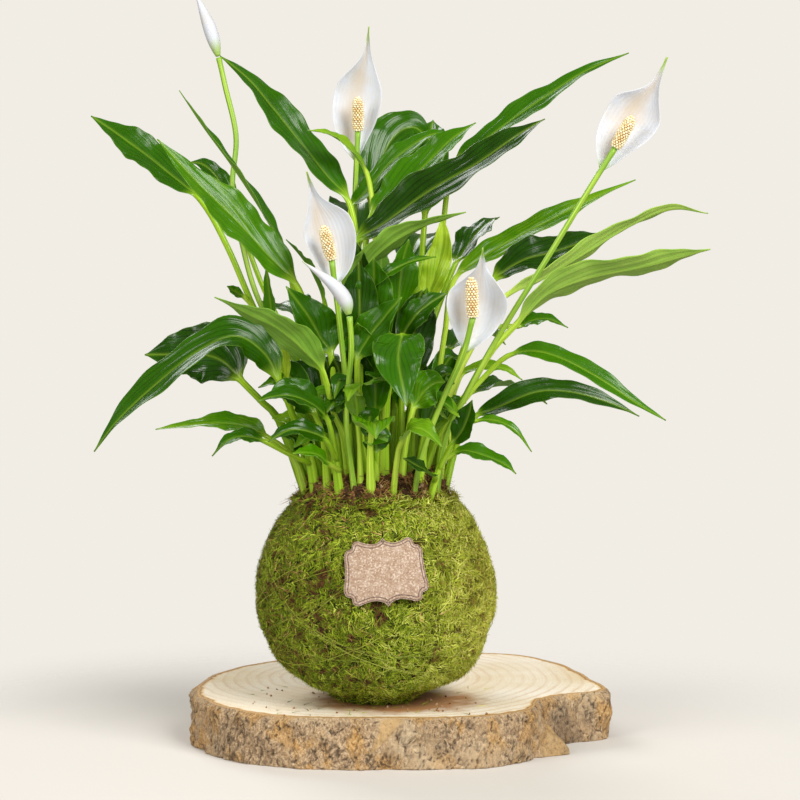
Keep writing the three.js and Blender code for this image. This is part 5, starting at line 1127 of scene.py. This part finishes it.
def spathe_piece(name, width, cup, face, path):
    """A cupped bract with raised veins, a rolled edge and a long point."""
    shares = np.linspace(0, 1, SPATHE_ROWS) ** 0.95
    share = shares[:, None]
    faces = np.tile(unit(np.array(face, float)), (SPATHE_ROWS, 1))
    shape = np.sin(math.pi * np.clip(share / 0.96, 0, 1)) ** 0.8
    shape = shape * (1 - 0.72 * smoothstep((share - 0.56) / 0.3))
    half = np.hypot(width / 2 * shape, 1.2 * (1 - 0.6 * share))
    u = ACROSS[None, :]
    away = np.abs(u)
    shaded_hollow = cup * half * away ** 2
    # Its raised veins, and the wave of its edge
    shaded_hollow = shaded_hollow + 0.07 * np.minimum(half / 8, 1) * np.sin(TAU * 4 * away) * (1 - away ** 3)
    shaded_hollow = shaded_hollow + 0.04 * width * away ** 3 * np.sin(TAU * 2.2 * share + 2 * np.sign(u) + width)
    midrib = np.exp(-(half * u / 0.9) ** 2) * 0.35
    thin = np.where(away < 1, 0.3, 0)
    top, bottom = shaded_hollow + thin - midrib, shaded_hollow - thin - midrib * 1.6
    corners, xs, across = blade_rings(path, shares, faces, half * u, top, bottom)
    rows, ring = xs.shape
    green = smoothstep((share - 0.86) / 0.1) + 0.8 * (1 - smoothstep(share / 0.1))
    back = np.where(np.arange(ring) < len(ACROSS), 0, 0.55) * np.exp(-(across / 0.08) ** 2)
    piece(f"{name}_bract", corners, ring_faces(rows, ring), spathe_finish, name, {
        "green": np.clip(green + back, 0, 1), "vein": 7 * np.abs(across),
        # Where the painted warm shade lies: along the middle and towards one side, least at the ends
        "shaded_hollow": 0.95 * np.exp(-((across + 0.2) / 0.5) ** 2) * np.sin(math.pi * share) ** 0.6,
        "broad": smoothstep((half - 3) / 7) * np.ones((1, ring)),
    })


def spadix_piece(name, foot, tip):
    """The spadix: a core in staggered rows, and a floret on each of its corners."""
    axis = tip - foot
    up = unit(axis)
    side = unit(np.cross([0.0, 1.0, 0.0], up))
    front = np.cross(up, side)
    corners = []
    for row in range(FLORET_ROWS + 1):
        share = row / FLORET_ROWS
        radius = SPADIX_RADIUS * math.sqrt(1 - 0.6 * (2 * abs(share - 0.45)) ** 4)
        for place in range(FLORET_ROUND):
            spin = (place + row % 2 / 2) / FLORET_ROUND * TAU
            corners.append(foot + axis * share + radius * (side * math.cos(spin) + front * math.sin(spin)))
    core = piece(f"{name}_core", corners, ring_faces(FLORET_ROWS + 1, FLORET_ROUND), gap_finish, name,
                 {"tint": np.full(len(corners), 0.5)})
    grown(f"{name}_florets", core, floret_tree, (len(name),))


floret_tree = floret_growth("spadix_florets", floret_finish)
for name, bloom in BLOOMS.items():
    stalk_piece(name, *bloom["stalk"], OPEN_WRAP)
    spathe_piece(f"{name}_spathe", *bloom["spathe"])
    end, tip = np.array(bloom["stalk"][1][-1], float), np.array(bloom["spadix"], float)
    spadix_piece(f"{name}_spadix", end + unit(tip - end) * SPADIX_GAP, tip)

for name, bloom in CLOSED_BLOOMS.items():
    stalk_piece(name, *bloom["stalk"], CLOSED_WRAP)
    width, path = bloom["bud"]
    shares = np.linspace(0, 1, BUD_ROWS)
    swell = np.maximum(0.4, width / 2 * np.sin(math.pi * (0.09 + 0.91 * shares) ** 0.9))[:, None]
    # The rolled bract's free edge winds slowly round the bud as a low step
    turn = ((circle_angles(BUD_SIDES)[None, :] - shares[:, None] * 2.6) / TAU) % 1
    radii = swell * (1 + 0.16 * (turn - 0.5) * np.sin(math.pi * shares[:, None]))
    green = np.repeat(1 - smoothstep(shares / 0.35) + 0.6 * smoothstep((shares - 0.9) / 0.1), BUD_SIDES)
    piece(f"{name}_spathe_roll", tube(path, shares, radii, BUD_SIDES), ring_faces(BUD_ROWS, BUD_SIDES),
          spathe_finish, f"{name}_spathe", {
              # A little painted warm shade all over the closed bud
              "green": np.clip(green, 0, 1), "vein": turn * 6, "shaded_hollow": np.full(radii.size, 0.1),
              "broad": np.full(radii.size, 0.5),
          })


# The ball
MOSS_SIDES, SOIL_SIDES = 260, 180


def turned_body(profile, sides):
    """A closed body from a profile of radius and height, whose ends are on the axis."""
    profile = np.array(profile, float)
    spin = circle_angles(sides)[None, :]
    inner = profile[1:-1]
    x, y = inner[:, :1] * np.cos(spin), inner[:, :1] * np.sin(spin)
    z = np.repeat(inner[:, 1:], sides, axis=1)
    ends = [[0, 0, profile[0][1]], [0, 0, profile[-1][1]]]
    corners = np.vstack([np.stack([x, y, z], axis=-1).reshape(-1, 3), ends])
    faces = ring_faces(len(inner), sides)[:-2]
    first, last = len(corners) - 2, len(corners) - 1
    end = (len(inner) - 1) * sides
    for at in range(sides):
        step = (at + 1) % sides
        faces.append((first, step, at))
        faces.append((last, end + at, end + step))
    return corners, faces


def ball_profile(first, last, step, offset):
    """Radius and height along the ball's side, from one latitude to another in degrees."""
    latitudes = np.radians(np.arange(first, last + 0.01, step))
    rows = ball_point(0.0, latitudes, offset)
    return [(row[0], row[2]) for row in rows]


def slumped(points):
    """Points on the ball, moved as the soft ball has slumped: its lower flank out, most at the right."""
    azimuth = np.arctan2(points[:, 1], points[:, 0])
    height = (points[:, 2] - BALL_CENTRE) / BALL_BOTTOM
    latitude = np.arctan2(height, np.hypot(points[:, 0], points[:, 1]) / BALL_RADIUS)
    amount = 2 + 3.2 * smoothstep(0.3 + 0.8 * np.cos(azimuth))
    amount = amount * np.exp(-((latitude + 0.8) / 0.27) ** 2)
    return points + np.column_stack([amount * np.cos(azimuth), amount * np.sin(azimuth), 0 * amount])


def label_place(azimuth, latitude):
    """Where a place on the ball is on the label's card: across and up, in millimetres."""
    turn = np.angle(np.exp(1j * (azimuth - LABEL_AZIMUTH)))
    across = turn * BALL_RADIUS * math.cos(LABEL_LATITUDE)
    up = (latitude - LABEL_LATITUDE) * BALL_RADIUS
    cosine, sine = math.cos(LABEL_TURN), math.sin(LABEL_TURN)
    return across * cosine + up * sine, -across * sine + up * cosine


moss_profile = [
    *((radius, SLICE_THICKNESS + GAP) for radius in (0, 8, 16, FOOT_RADIUS)),
    *ball_profile(-64, OPENING_LATITUDE - 1, 1.5, 0),
    (OPENING_RADIUS + 2.2, OPENING_HEIGHT), (OPENING_RADIUS, OPENING_HEIGHT - 1.2),
    *reversed(ball_profile(-70, OPENING_LATITUDE - 8, 8, -8)),
]
moss_profile.append((0, moss_profile[-1][1] - 1))
moss_corners, moss_faces = turned_body(moss_profile, MOSS_SIDES)
x, y, z = moss_corners.T
heights = (z - BALL_CENTRE) / np.where(z > BALL_CENTRE, BALL_TOP, BALL_BOTTOM)
radii = np.hypot(x, y) / BALL_RADIUS
outside = (np.hypot(radii, heights) > 0.93) & (z > SLICE_THICKNESS + 1)
across, up = label_place(np.arctan2(y, x), np.arctan2(heights, radii))
under_label = (np.abs(across) < LABEL_HOLLOW[0]) & (np.abs(up) < LABEL_HOLLOW[1])
# Cushions of moss about 20 mm wide, and the hollows between them
lumps = rough(moss_corners, 20, 2) * 2.0 - 1.8
lumps = np.where(outside & (z < OPENING_HEIGHT - 0.5), lumps, 0)
lumps = np.where(under_label, np.minimum(lumps, 0), lumps)
outwards = unit(moss_corners - np.array([0, 0, BALL_CENTRE]))
moss_corners = moss_corners + outwards * np.clip(lumps, -3, 0.4)[:, None]
moss_corners = np.where(outside[:, None], slumped(moss_corners), moss_corners)
# The bed's tint is darker in the hollows between the cushions, as painted shade
moss_bed = piece("moss_bed", moss_corners, moss_faces, bed_finish, "moss_wrap", {
    "outer": outside & ~under_label & (moss_corners[:, 2] < OPENING_HEIGHT - 2), "tint": 0.6 + lumps * 0.15,
})

# The soil in the moss: its top is loose, and the part below it fills the wrap
soil_profile = [
    (0, moss_profile[-1][1] + GAP), *ball_profile(-70, OPENING_LATITUDE - 8, 8, -8.3),
    (OPENING_RADIUS - GAP, OPENING_HEIGHT - 1.5),
    *((radius, OPENING_HEIGHT + 1) for radius in np.linspace(OPENING_RADIUS - 1, 0, 44)),
]
soil_corners, soil_faces = turned_body(soil_profile, SOIL_SIDES)
x, y, z = soil_corners.T
top = z > OPENING_HEIGHT
lumps = rough(soil_corners, 8) * 4.2 + rough(soil_corners, 2.2, 2) * 1.3
soil_corners[:, 2] = np.where(top, soil_height(x, y) + lumps + soil_shoulder(x, y), z)

strand_tree = strand_growth("moss_strands", moss_finish)
# Coats of moss: seed, strands to a square metre, length, width, least and most slant, darkest and
# lightest tint, and how high above the bed they start
MOSS_COATS = {
    "moss_undergrowth": (3, 2.8e5, 4.2, 0.9, 1.0, 1.4, 0.1, 0.55),
    "moss_fronds": (11, 3.1e5, 4.6, 0.75, 1.15, 1.5, 0.25, 0.85, 0.2),
    "moss_fine_fronds": (19, 3.1e5, 3.8, 0.6, 1.1, 1.5, 0.25, 0.95, 0.4),
    "moss_tips": (27, 2.8e5, 3.4, 0.6, 1.1, 1.5, 0.3, 1.0, 0.6),
    "moss_long_fibres": (40, 2.6e4, 8, 0.45, 1.46, 1.55, 0.5, 1.0, 0.8),
}
for name, row in MOSS_COATS.items():
    grown(name, moss_bed, strand_tree, row)

# The soil's tint is darker where it lies low and lighter where it stands up: painted shade and light
soil_bed = piece("soil_bed", soil_corners, soil_faces, soil_finish, "soil_core", {
    "outer": top, "tint": 0.3 + 0.12 * lumps,
})
crumb_tree = crumb_growth("crumbs", soil_finish)
chip_tree = crumb_growth("bark_chips", chip_finish)
fibre_tree = strand_growth("root_fibres", fibre_finish)
# Crumbs: seed, number to a square metre, size, darkest and lightest tint. Fibres are given as the
# moss is, and then by how much they curl and by their segments
grown("soil_crumbs", soil_bed, crumb_tree, (5, 8.2e5, 1.1, 0.05, 0.85))
grown("soil_lumps", soil_bed, crumb_tree, (6, 8e4, 3.2, 0.1, 0.7))
grown("soil_chips", soil_bed, chip_tree, (9, 2e4, 3.6, 0.0, 0.8))
grown("soil_fibres", soil_bed, fibre_tree, (14, 8e4, 10, 0.8, 1.1, 1.5, -0.1, 0.7, 0.5, 0.12, 5))
# Dead strands the colour of straw among the green ones
grown("moss_straw", moss_bed, fibre_tree, (45, 2.2e4, 4.5, 0.6, 1.15, 1.5, 0.3, 1.2, 0.7, 0.1, 3))

winding_tree = winding_growth("thread_windings", thread_finish)
windings = grown("thread_windings", moss_bed, winding_tree, (8,), "binding_thread")
winding_points = np.empty(len(windings.data.vertices) * 3)
windings.data.vertices.foreach_get("co", winding_points)
winding_points = slumped(winding_points.reshape(-1, 3) / MM) * MM
windings.data.vertices.foreach_set("co", winding_points.ravel())


# The label, and the print on it: offsets from the ball's surface, and the lines' insets and widths
CARD_BACK, CARD_FRONT = 2.3, 3.3
PRINT_BACK, PRINT_FRONT = 3.31, 3.35
PRINTED_LINES = ((0.45, 0.45), (2.0, 0.5))


def card_outline(inset):
    """The card's bracket outline, drawn in from its edge by `inset`, in its own plane."""
    quarter = path_points([(*point, 0) for point in LABEL_QUARTER], np.linspace(0, 1, 41))[:, :2]
    right = np.vstack([quarter, quarter[-2::-1] * [1, -1]])
    whole = np.vstack([right, right[-2:0:-1] * [-1, 1]])
    along = unit(np.roll(whole, -1, axis=0) - np.roll(whole, 1, axis=0))
    return whole - np.stack([-along[:, 1], along[:, 0]], axis=-1) * inset


def on_card(outline, offset):
    """An outline in the card's plane, laid on the ball so far outside its surface."""
    u, v = outline[:, 0], outline[:, 1]
    across = u * math.cos(LABEL_TURN) - v * math.sin(LABEL_TURN)
    up = u * math.sin(LABEL_TURN) + v * math.cos(LABEL_TURN)
    latitude = LABEL_LATITUDE + up / BALL_RADIUS
    azimuth = LABEL_AZIMUTH + across / (BALL_RADIUS * math.cos(LABEL_LATITUDE))
    return ball_point(azimuth, latitude, offset)


outline = card_outline(0)
count = len(outline)
rings = [on_card(outline * share, CARD_BACK) for share in (0.02, 0.3, 0.6, 0.9, 0.99)]
rings += [on_card(outline, offset) for offset in (CARD_BACK + 0.15, CARD_FRONT - 0.15)]
rings += [on_card(outline * share, CARD_FRONT) for share in (0.99, 0.9, 0.75, 0.6, 0.45, 0.3, 0.15, 0.02)]
card_faces = outward(ring_faces(len(rings), count))
piece("label_card", np.vstack(rings), card_faces, card_finish, "label")
for number, (inset, thick) in enumerate(PRINTED_LINES):
    outer, inner = card_outline(inset), card_outline(inset + thick)
    rings = [(outer, PRINT_BACK), (outer, PRINT_FRONT), (inner, PRINT_FRONT), (inner, PRINT_BACK)]
    faces = ring_faces(len(rings), count)[:-2]
    last = (len(rings) - 1) * count
    faces += [(last + at, last + (at + 1) % count, (at + 1) % count, at) for at in range(count)]
    corners = np.vstack([on_card(*ring) for ring in rings])
    piece(f"label_line_{number + 1}", corners, outward(faces), ink_finish, None)


# The slice of trunk
RIM_POINTS = 720
FLAT = np.full(RIM_POINTS, float(SLICE_THICKNESS))
# How far up the bark its rings are, how far in from its edge the top's are, and the shares of the
# way to the middle that the others keep
BARK_LEVELS = [0.0, 0.01, *np.linspace(0.04, 0.94, 22), 0.965, 0.985, 1.0]
EDGE_INSETS = (0.7, 1.6, 2.6, 3.6, 5, 7, 9.5, 13, 18, 25)
MIDDLE_SHARES = (0.82, 0.62, 0.4, 0.2, 0.05)
# The notch, how far round it the splinter goes and how far out, and the scar's lower and upper end
NOTCH = (104, -16)
NOTCH_REACH, SPLINTER_REACH = 18, 24
SCAR_FOOT, SCAR_TOP = 11, 30


def closed_path(points, count):
    """Evenly spaced points on a smooth closed curve whose turns are as tight as its points are close."""
    points = [np.array(point, float) for point in points]
    total = len(points)
    fine = []
    for at in range(total):
        p0, p1, p2, p3 = (points[(at + step) % total] for step in (-1, 0, 1, 2))
        t1 = np.linalg.norm(p1 - p0) ** 0.5
        t2 = t1 + np.linalg.norm(p2 - p1) ** 0.5
        t3 = t2 + np.linalg.norm(p3 - p2) ** 0.5
        t = np.linspace(t1, t2, 60, endpoint=False)[:, None]
        a1 = p0 + (p1 - p0) * t / t1
        a2 = p1 + (p2 - p1) * (t - t1) / (t2 - t1)
        a3 = p2 + (p3 - p2) * (t - t2) / (t3 - t2)
        b1 = a1 + (a2 - a1) * t / t2
        b2 = a2 + (a3 - a2) * (t - t1) / (t3 - t1)
        fine.extend(b1 + (b2 - b1) * (t - t1) / (t2 - t1))
    fine = np.array(fine + fine[:1])
    run = np.concatenate([[0], np.cumsum(np.linalg.norm(np.diff(fine, axis=0), axis=1))])
    even = np.linspace(0, run[-1], count, endpoint=False)
    return np.stack([np.interp(even, run, fine[:, axis]) for axis in (0, 1)], axis=-1)


rim = closed_path(SLICE_OUTLINE[::-1], RIM_POINTS)
centre = np.array(SLICE_MIDDLE, float)
away = unit(rim - centre)
at = np.arange(RIM_POINTS) / RIM_POINTS * 72
near_notch = np.maximum(0, 1 - np.linalg.norm(rim - NOTCH, axis=1) / NOTCH_REACH)
slice_rings, scars, bark_shade = [], [], []
for level in BARK_LEVELS:
    # Broad waves of the bark, which stands proud of the solid's outline and is rounded off at the top
    row = level * 5
    bark = (np.sin(at * 1.9 + row * 1.3) + np.sin(at * 0.83 - row * 0.9)) / 2
    rounded = smoothstep((level - 0.9) / 0.1)
    out = 1.8 * bark * (1 - 0.5 * rounded) + 2.6 - 3.2 * rounded - 0.8 * (level < 0.005)
    splinter = SPLINTER_REACH * near_notch * (1 - smoothstep(level * 1.2))
    height = level * SLICE_THICKNESS
    ring = np.column_stack([rim + away * out[:, None], np.full(RIM_POINTS, height)])
    ring[:, 0] += splinter
    ring[:, 1] -= splinter / 4
    # Plates about 7 mm wide with cracks between some of them, relief, and loose flakes
    plates = rough(ring * [1, 1, 0.55], 7, 3)
    crack = np.exp(-(plates / 0.045) ** 2) * smoothstep((rough(ring, 16, 2) + 0.25) / 0.3)
    relief = 1.1 * rough(ring * [1, 1, 0.5], 3.2, 4) - 1.6 * crack + 1.1 * plates
    relief = relief * (1 - 0.75 * rounded) * (0.3 if level < 0.005 else 1)
    ring[:, :2] += away * relief[:, None]
    slice_rings.append(ring)
    flakes = rough(ring * [1.2, 1.2, 0.8], 2.6, 3)
    ring[:, :2] += away * (0.5 * flakes * (1 - rounded))[:, None]
    shaded_hollow = smoothstep((-flakes - 0.12) / 0.25) * smoothstep((rough(ring, 11, 2) + 0.2) / 0.4)
    # Painted shade darkens the cracks, the hollows between the flakes, and the bark deep in the notch
    notch_shade = 0.45 * np.exp(-((ring[:, 0] - 116) / 11) ** 2) * (ring[:, 1] < 40)
    notch_shade = notch_shade * smoothstep((0.95 - level) / 0.5)
    bark_shade.append(np.clip(np.maximum(0.85 * crack, 0.6 * shaded_hollow) + notch_shade, 0, 1) * (1 - rounded))
    # A leaning pale scar on the front, and the bare wood of the splinter
    lean = 0.625 * (height - 13)
    wide = 0.8 + 0.26 * max(height - SCAR_FOOT, 0)
    scar = smoothstep(1.6 - np.abs(ring[:, 0] - lean + 1.5 * plates) / wide) * (ring[:, 1] < -50)
    scar = 0.85 * scar * (SCAR_FOOT < height < SCAR_TOP)
    scars.append(np.maximum(scar, smoothstep(splinter / 7) * 0.6))
# The sawn top: saw marks, and grain that stands a little proud
top_edge = slice_rings[-1][:, :2]
top_rings = [top_edge - away * inset for inset in EDGE_INSETS]
top_rings += [centre + (top_rings[-1] - centre) * share for share in MIDDLE_SHARES]
for flat_ring in top_rings:
    ring = np.column_stack([flat_ring, FLAT])
    ring[:, 2] += rough(ring, 5, 3) * 0.22
    slice_rings.append(ring)
inward = [0.0] * len(BARK_LEVELS) + [min(inset / 6, 1) for inset in EDGE_INSETS]
inward += [1.0] * len(MIDDLE_SHARES)
bare = [np.zeros(RIM_POINTS)] * len(top_rings)
slice_faces = ring_faces(len(slice_rings), RIM_POINTS)
slice_body = piece("slice_body", np.vstack(slice_rings), slice_faces, bark_finish, "wood_slice", {
    "inward": np.repeat(inward, RIM_POINTS), "scar": np.concatenate(scars + bare),
    # The painted shade of the cracks, the hollows between the flakes and the notch
    "crack": np.concatenate(bark_shade + bare),
})
slice_body.data.materials.append(wood_finish)
indices = np.zeros(len(slice_body.data.polygons), np.int32)
indices[(len(BARK_LEVELS) - 1) * RIM_POINTS:] = 1
slice_body.data.polygons.foreach_set("material_index", indices)

# Loose crumbs and moss: a few on the slice, and a ragged rim of them where the soil meets the moss
GUIDE_ROWS, GUIDE_SIDES = 24, 96
FRONT_EDGE = -57


def loose_guide(name, low, high, middle, height, spread, least=-0.25):
    """A flat ring that is marked in clumps, most of them at the front right and near its inner edge."""
    steps = np.linspace(0, 1, GUIDE_ROWS)
    spin = circle_angles(GUIDE_SIDES)
    rows = (low + (high - low) * steps)[:, None]
    x, y = middle[0] + rows * np.cos(spin), middle[1] + rows * np.sin(spin)
    corners = np.stack([x, y, height(x, y)], axis=-1).reshape(-1, 3)
    front = 0.5 - 0.5 * np.sin(np.tile(spin, GUIDE_ROWS) + 0.6)
    chosen = rough(corners, 9, 3) + 0.75 * front - spread * np.repeat(steps, GUIDE_SIDES) > least
    chosen &= corners[:, 1] > FRONT_EDGE
    faces = outward(ring_faces(GUIDE_ROWS, GUIDE_SIDES)[:-2])
    return linked(name, marked_mesh(name, corners, faces, {"outer": chosen}))


def slice_top(x, y):
    return np.full(x.shape, SLICE_THICKNESS + GAP)


def rim_height(x, y):
    away = np.hypot(x, y)
    ball = BALL_CENTRE + BALL_TOP * np.sqrt(np.maximum(1 - (away / BALL_RADIUS) ** 2, 0))
    return np.where(away < OPENING_RADIUS, soil_height(x, y) + soil_shoulder(x, y), ball + 1)


litter = loose_guide("litter_guide", 22, 84, (3, -4), slice_top, 1.0)
grown("litter_crumbs", litter, chip_tree, (21, 5e3, 1.0, 0.15, 0.8))
grown("litter_moss", litter, strand_tree, (22, 6e3, 5, 0.6, 1.3, 1.52, 0.2, 0.8))
opening = loose_guide("rim_guide", 33, 50, (0, 0), rim_height, 1.1)
grown("rim_crumbs", opening, crumb_tree, (31, 5e5, 1.5, 0.0, 0.7))
grown("rim_fibres", opening, fibre_tree, (32, 1.1e5, 10, 0.8, 1.25, 1.5, -0.1, 0.7, 0.5, 0.14, 5))
tufts = loose_guide("tuft_guide", 41, 51, (0, 0), rim_height, -0.9, 0.8)
grown("rim_moss", tufts, strand_tree, (33, 7e5, 4.5, 0.8, 0.9, 1.45, 0.1, 0.9, 0.8))
for guide in (litter, opening, tufts):
    bpy.data.objects.remove(guide)


# The studio: a pale floor that fades into the pale background, and soft daylight, most from the right
def pale_floor():
    """Pale matt paper that thins out towards its edge, so that no horizon shows."""
    made, tree, place = material("pale studio paper")
    away = add(tree, "VectorMath", {0: place}, operation="LENGTH")
    solid = add(tree, "MapRange", {
        "Value": away, "From Min": 0.42, "From Max": 0.2, "To Max": 1.0,
    }, interpolation_type="SMOOTHSTEP")
    return surfaced(made, {
        "Base Color": colour("#D6D3D0"), "Roughness": 0.95, "Specular IOR Level": 0.0, "Alpha": solid,
    })


def aimed(made, place, aim):
    """A light or camera, set at its place and turned to look at its aim."""
    made.location = place
    made.rotation_euler = (Vector(aim) - Vector(place)).to_track_quat("-Z", "Y").to_euler()
    return made


scene = bpy.context.scene
mesh = bpy.data.meshes.new("studio_floor")
floor_edge = [(math.cos(turn), math.sin(turn), 0) for turn in circle_angles(64)]
mesh.from_pydata(floor_edge, [], [tuple(range(len(floor_edge)))])
mesh.materials.append(pale_floor())
floor = linked("studio_floor", mesh)

# Each light's place, the height it looks at, its size, its power and its colour
LIGHTS = {
    "key_light": ((1.6, -2.0, 2.1), 0.2, 1.6, 110, "#FFFDF8"),
    "fill_light": ((-2.1, -1.9, 1.6), 0.2, 1.6, 52, "#FFFBF2"),
    "front_light": ((0.5, -2.6, 0.55), 0.15, 1.2, 15, "#FFFDFA"),
    "back_light": ((-0.6, 1.2, 1.2), 0.25, 0.9, 14, "#FFFFFF"),
}
for name, (place, aim_height, size, power, hex_code) in LIGHTS.items():
    lamp = bpy.data.lights.new(name, "AREA")
    lamp.size = size
    lamp.energy = power
    lamp.color = colour(hex_code)[:3]
    aimed(linked(name, lamp), place, (0, 0, aim_height))

world = bpy.data.worlds.new("studio_air")
world.use_nodes = True
air = world.node_tree
air.nodes.clear()
seen = add(air, "Background", {0: colour("#F1EDE5"), 1: 1.0})
light = add(air, "Background", {0: colour("#FFF6E8"), 1: 0.25})
to_camera = add(air, "LightPath").outputs["Is Camera Ray"]
mixed = add(air, "MixShader", {0: to_camera, 1: light, 2: seen})
add(air, "OutputWorld", {0: mixed})
scene.world = world
scene.view_settings.view_transform = "Standard"

camera_data = bpy.data.cameras.new("photo_camera")
camera_data.lens = 117
camera_data.sensor_width = 36
camera = linked("photo_camera", camera_data)
scene.camera = aimed(camera, Vector((15, -1600, 343)) * MM, Vector((15, 0, 217)) * MM)
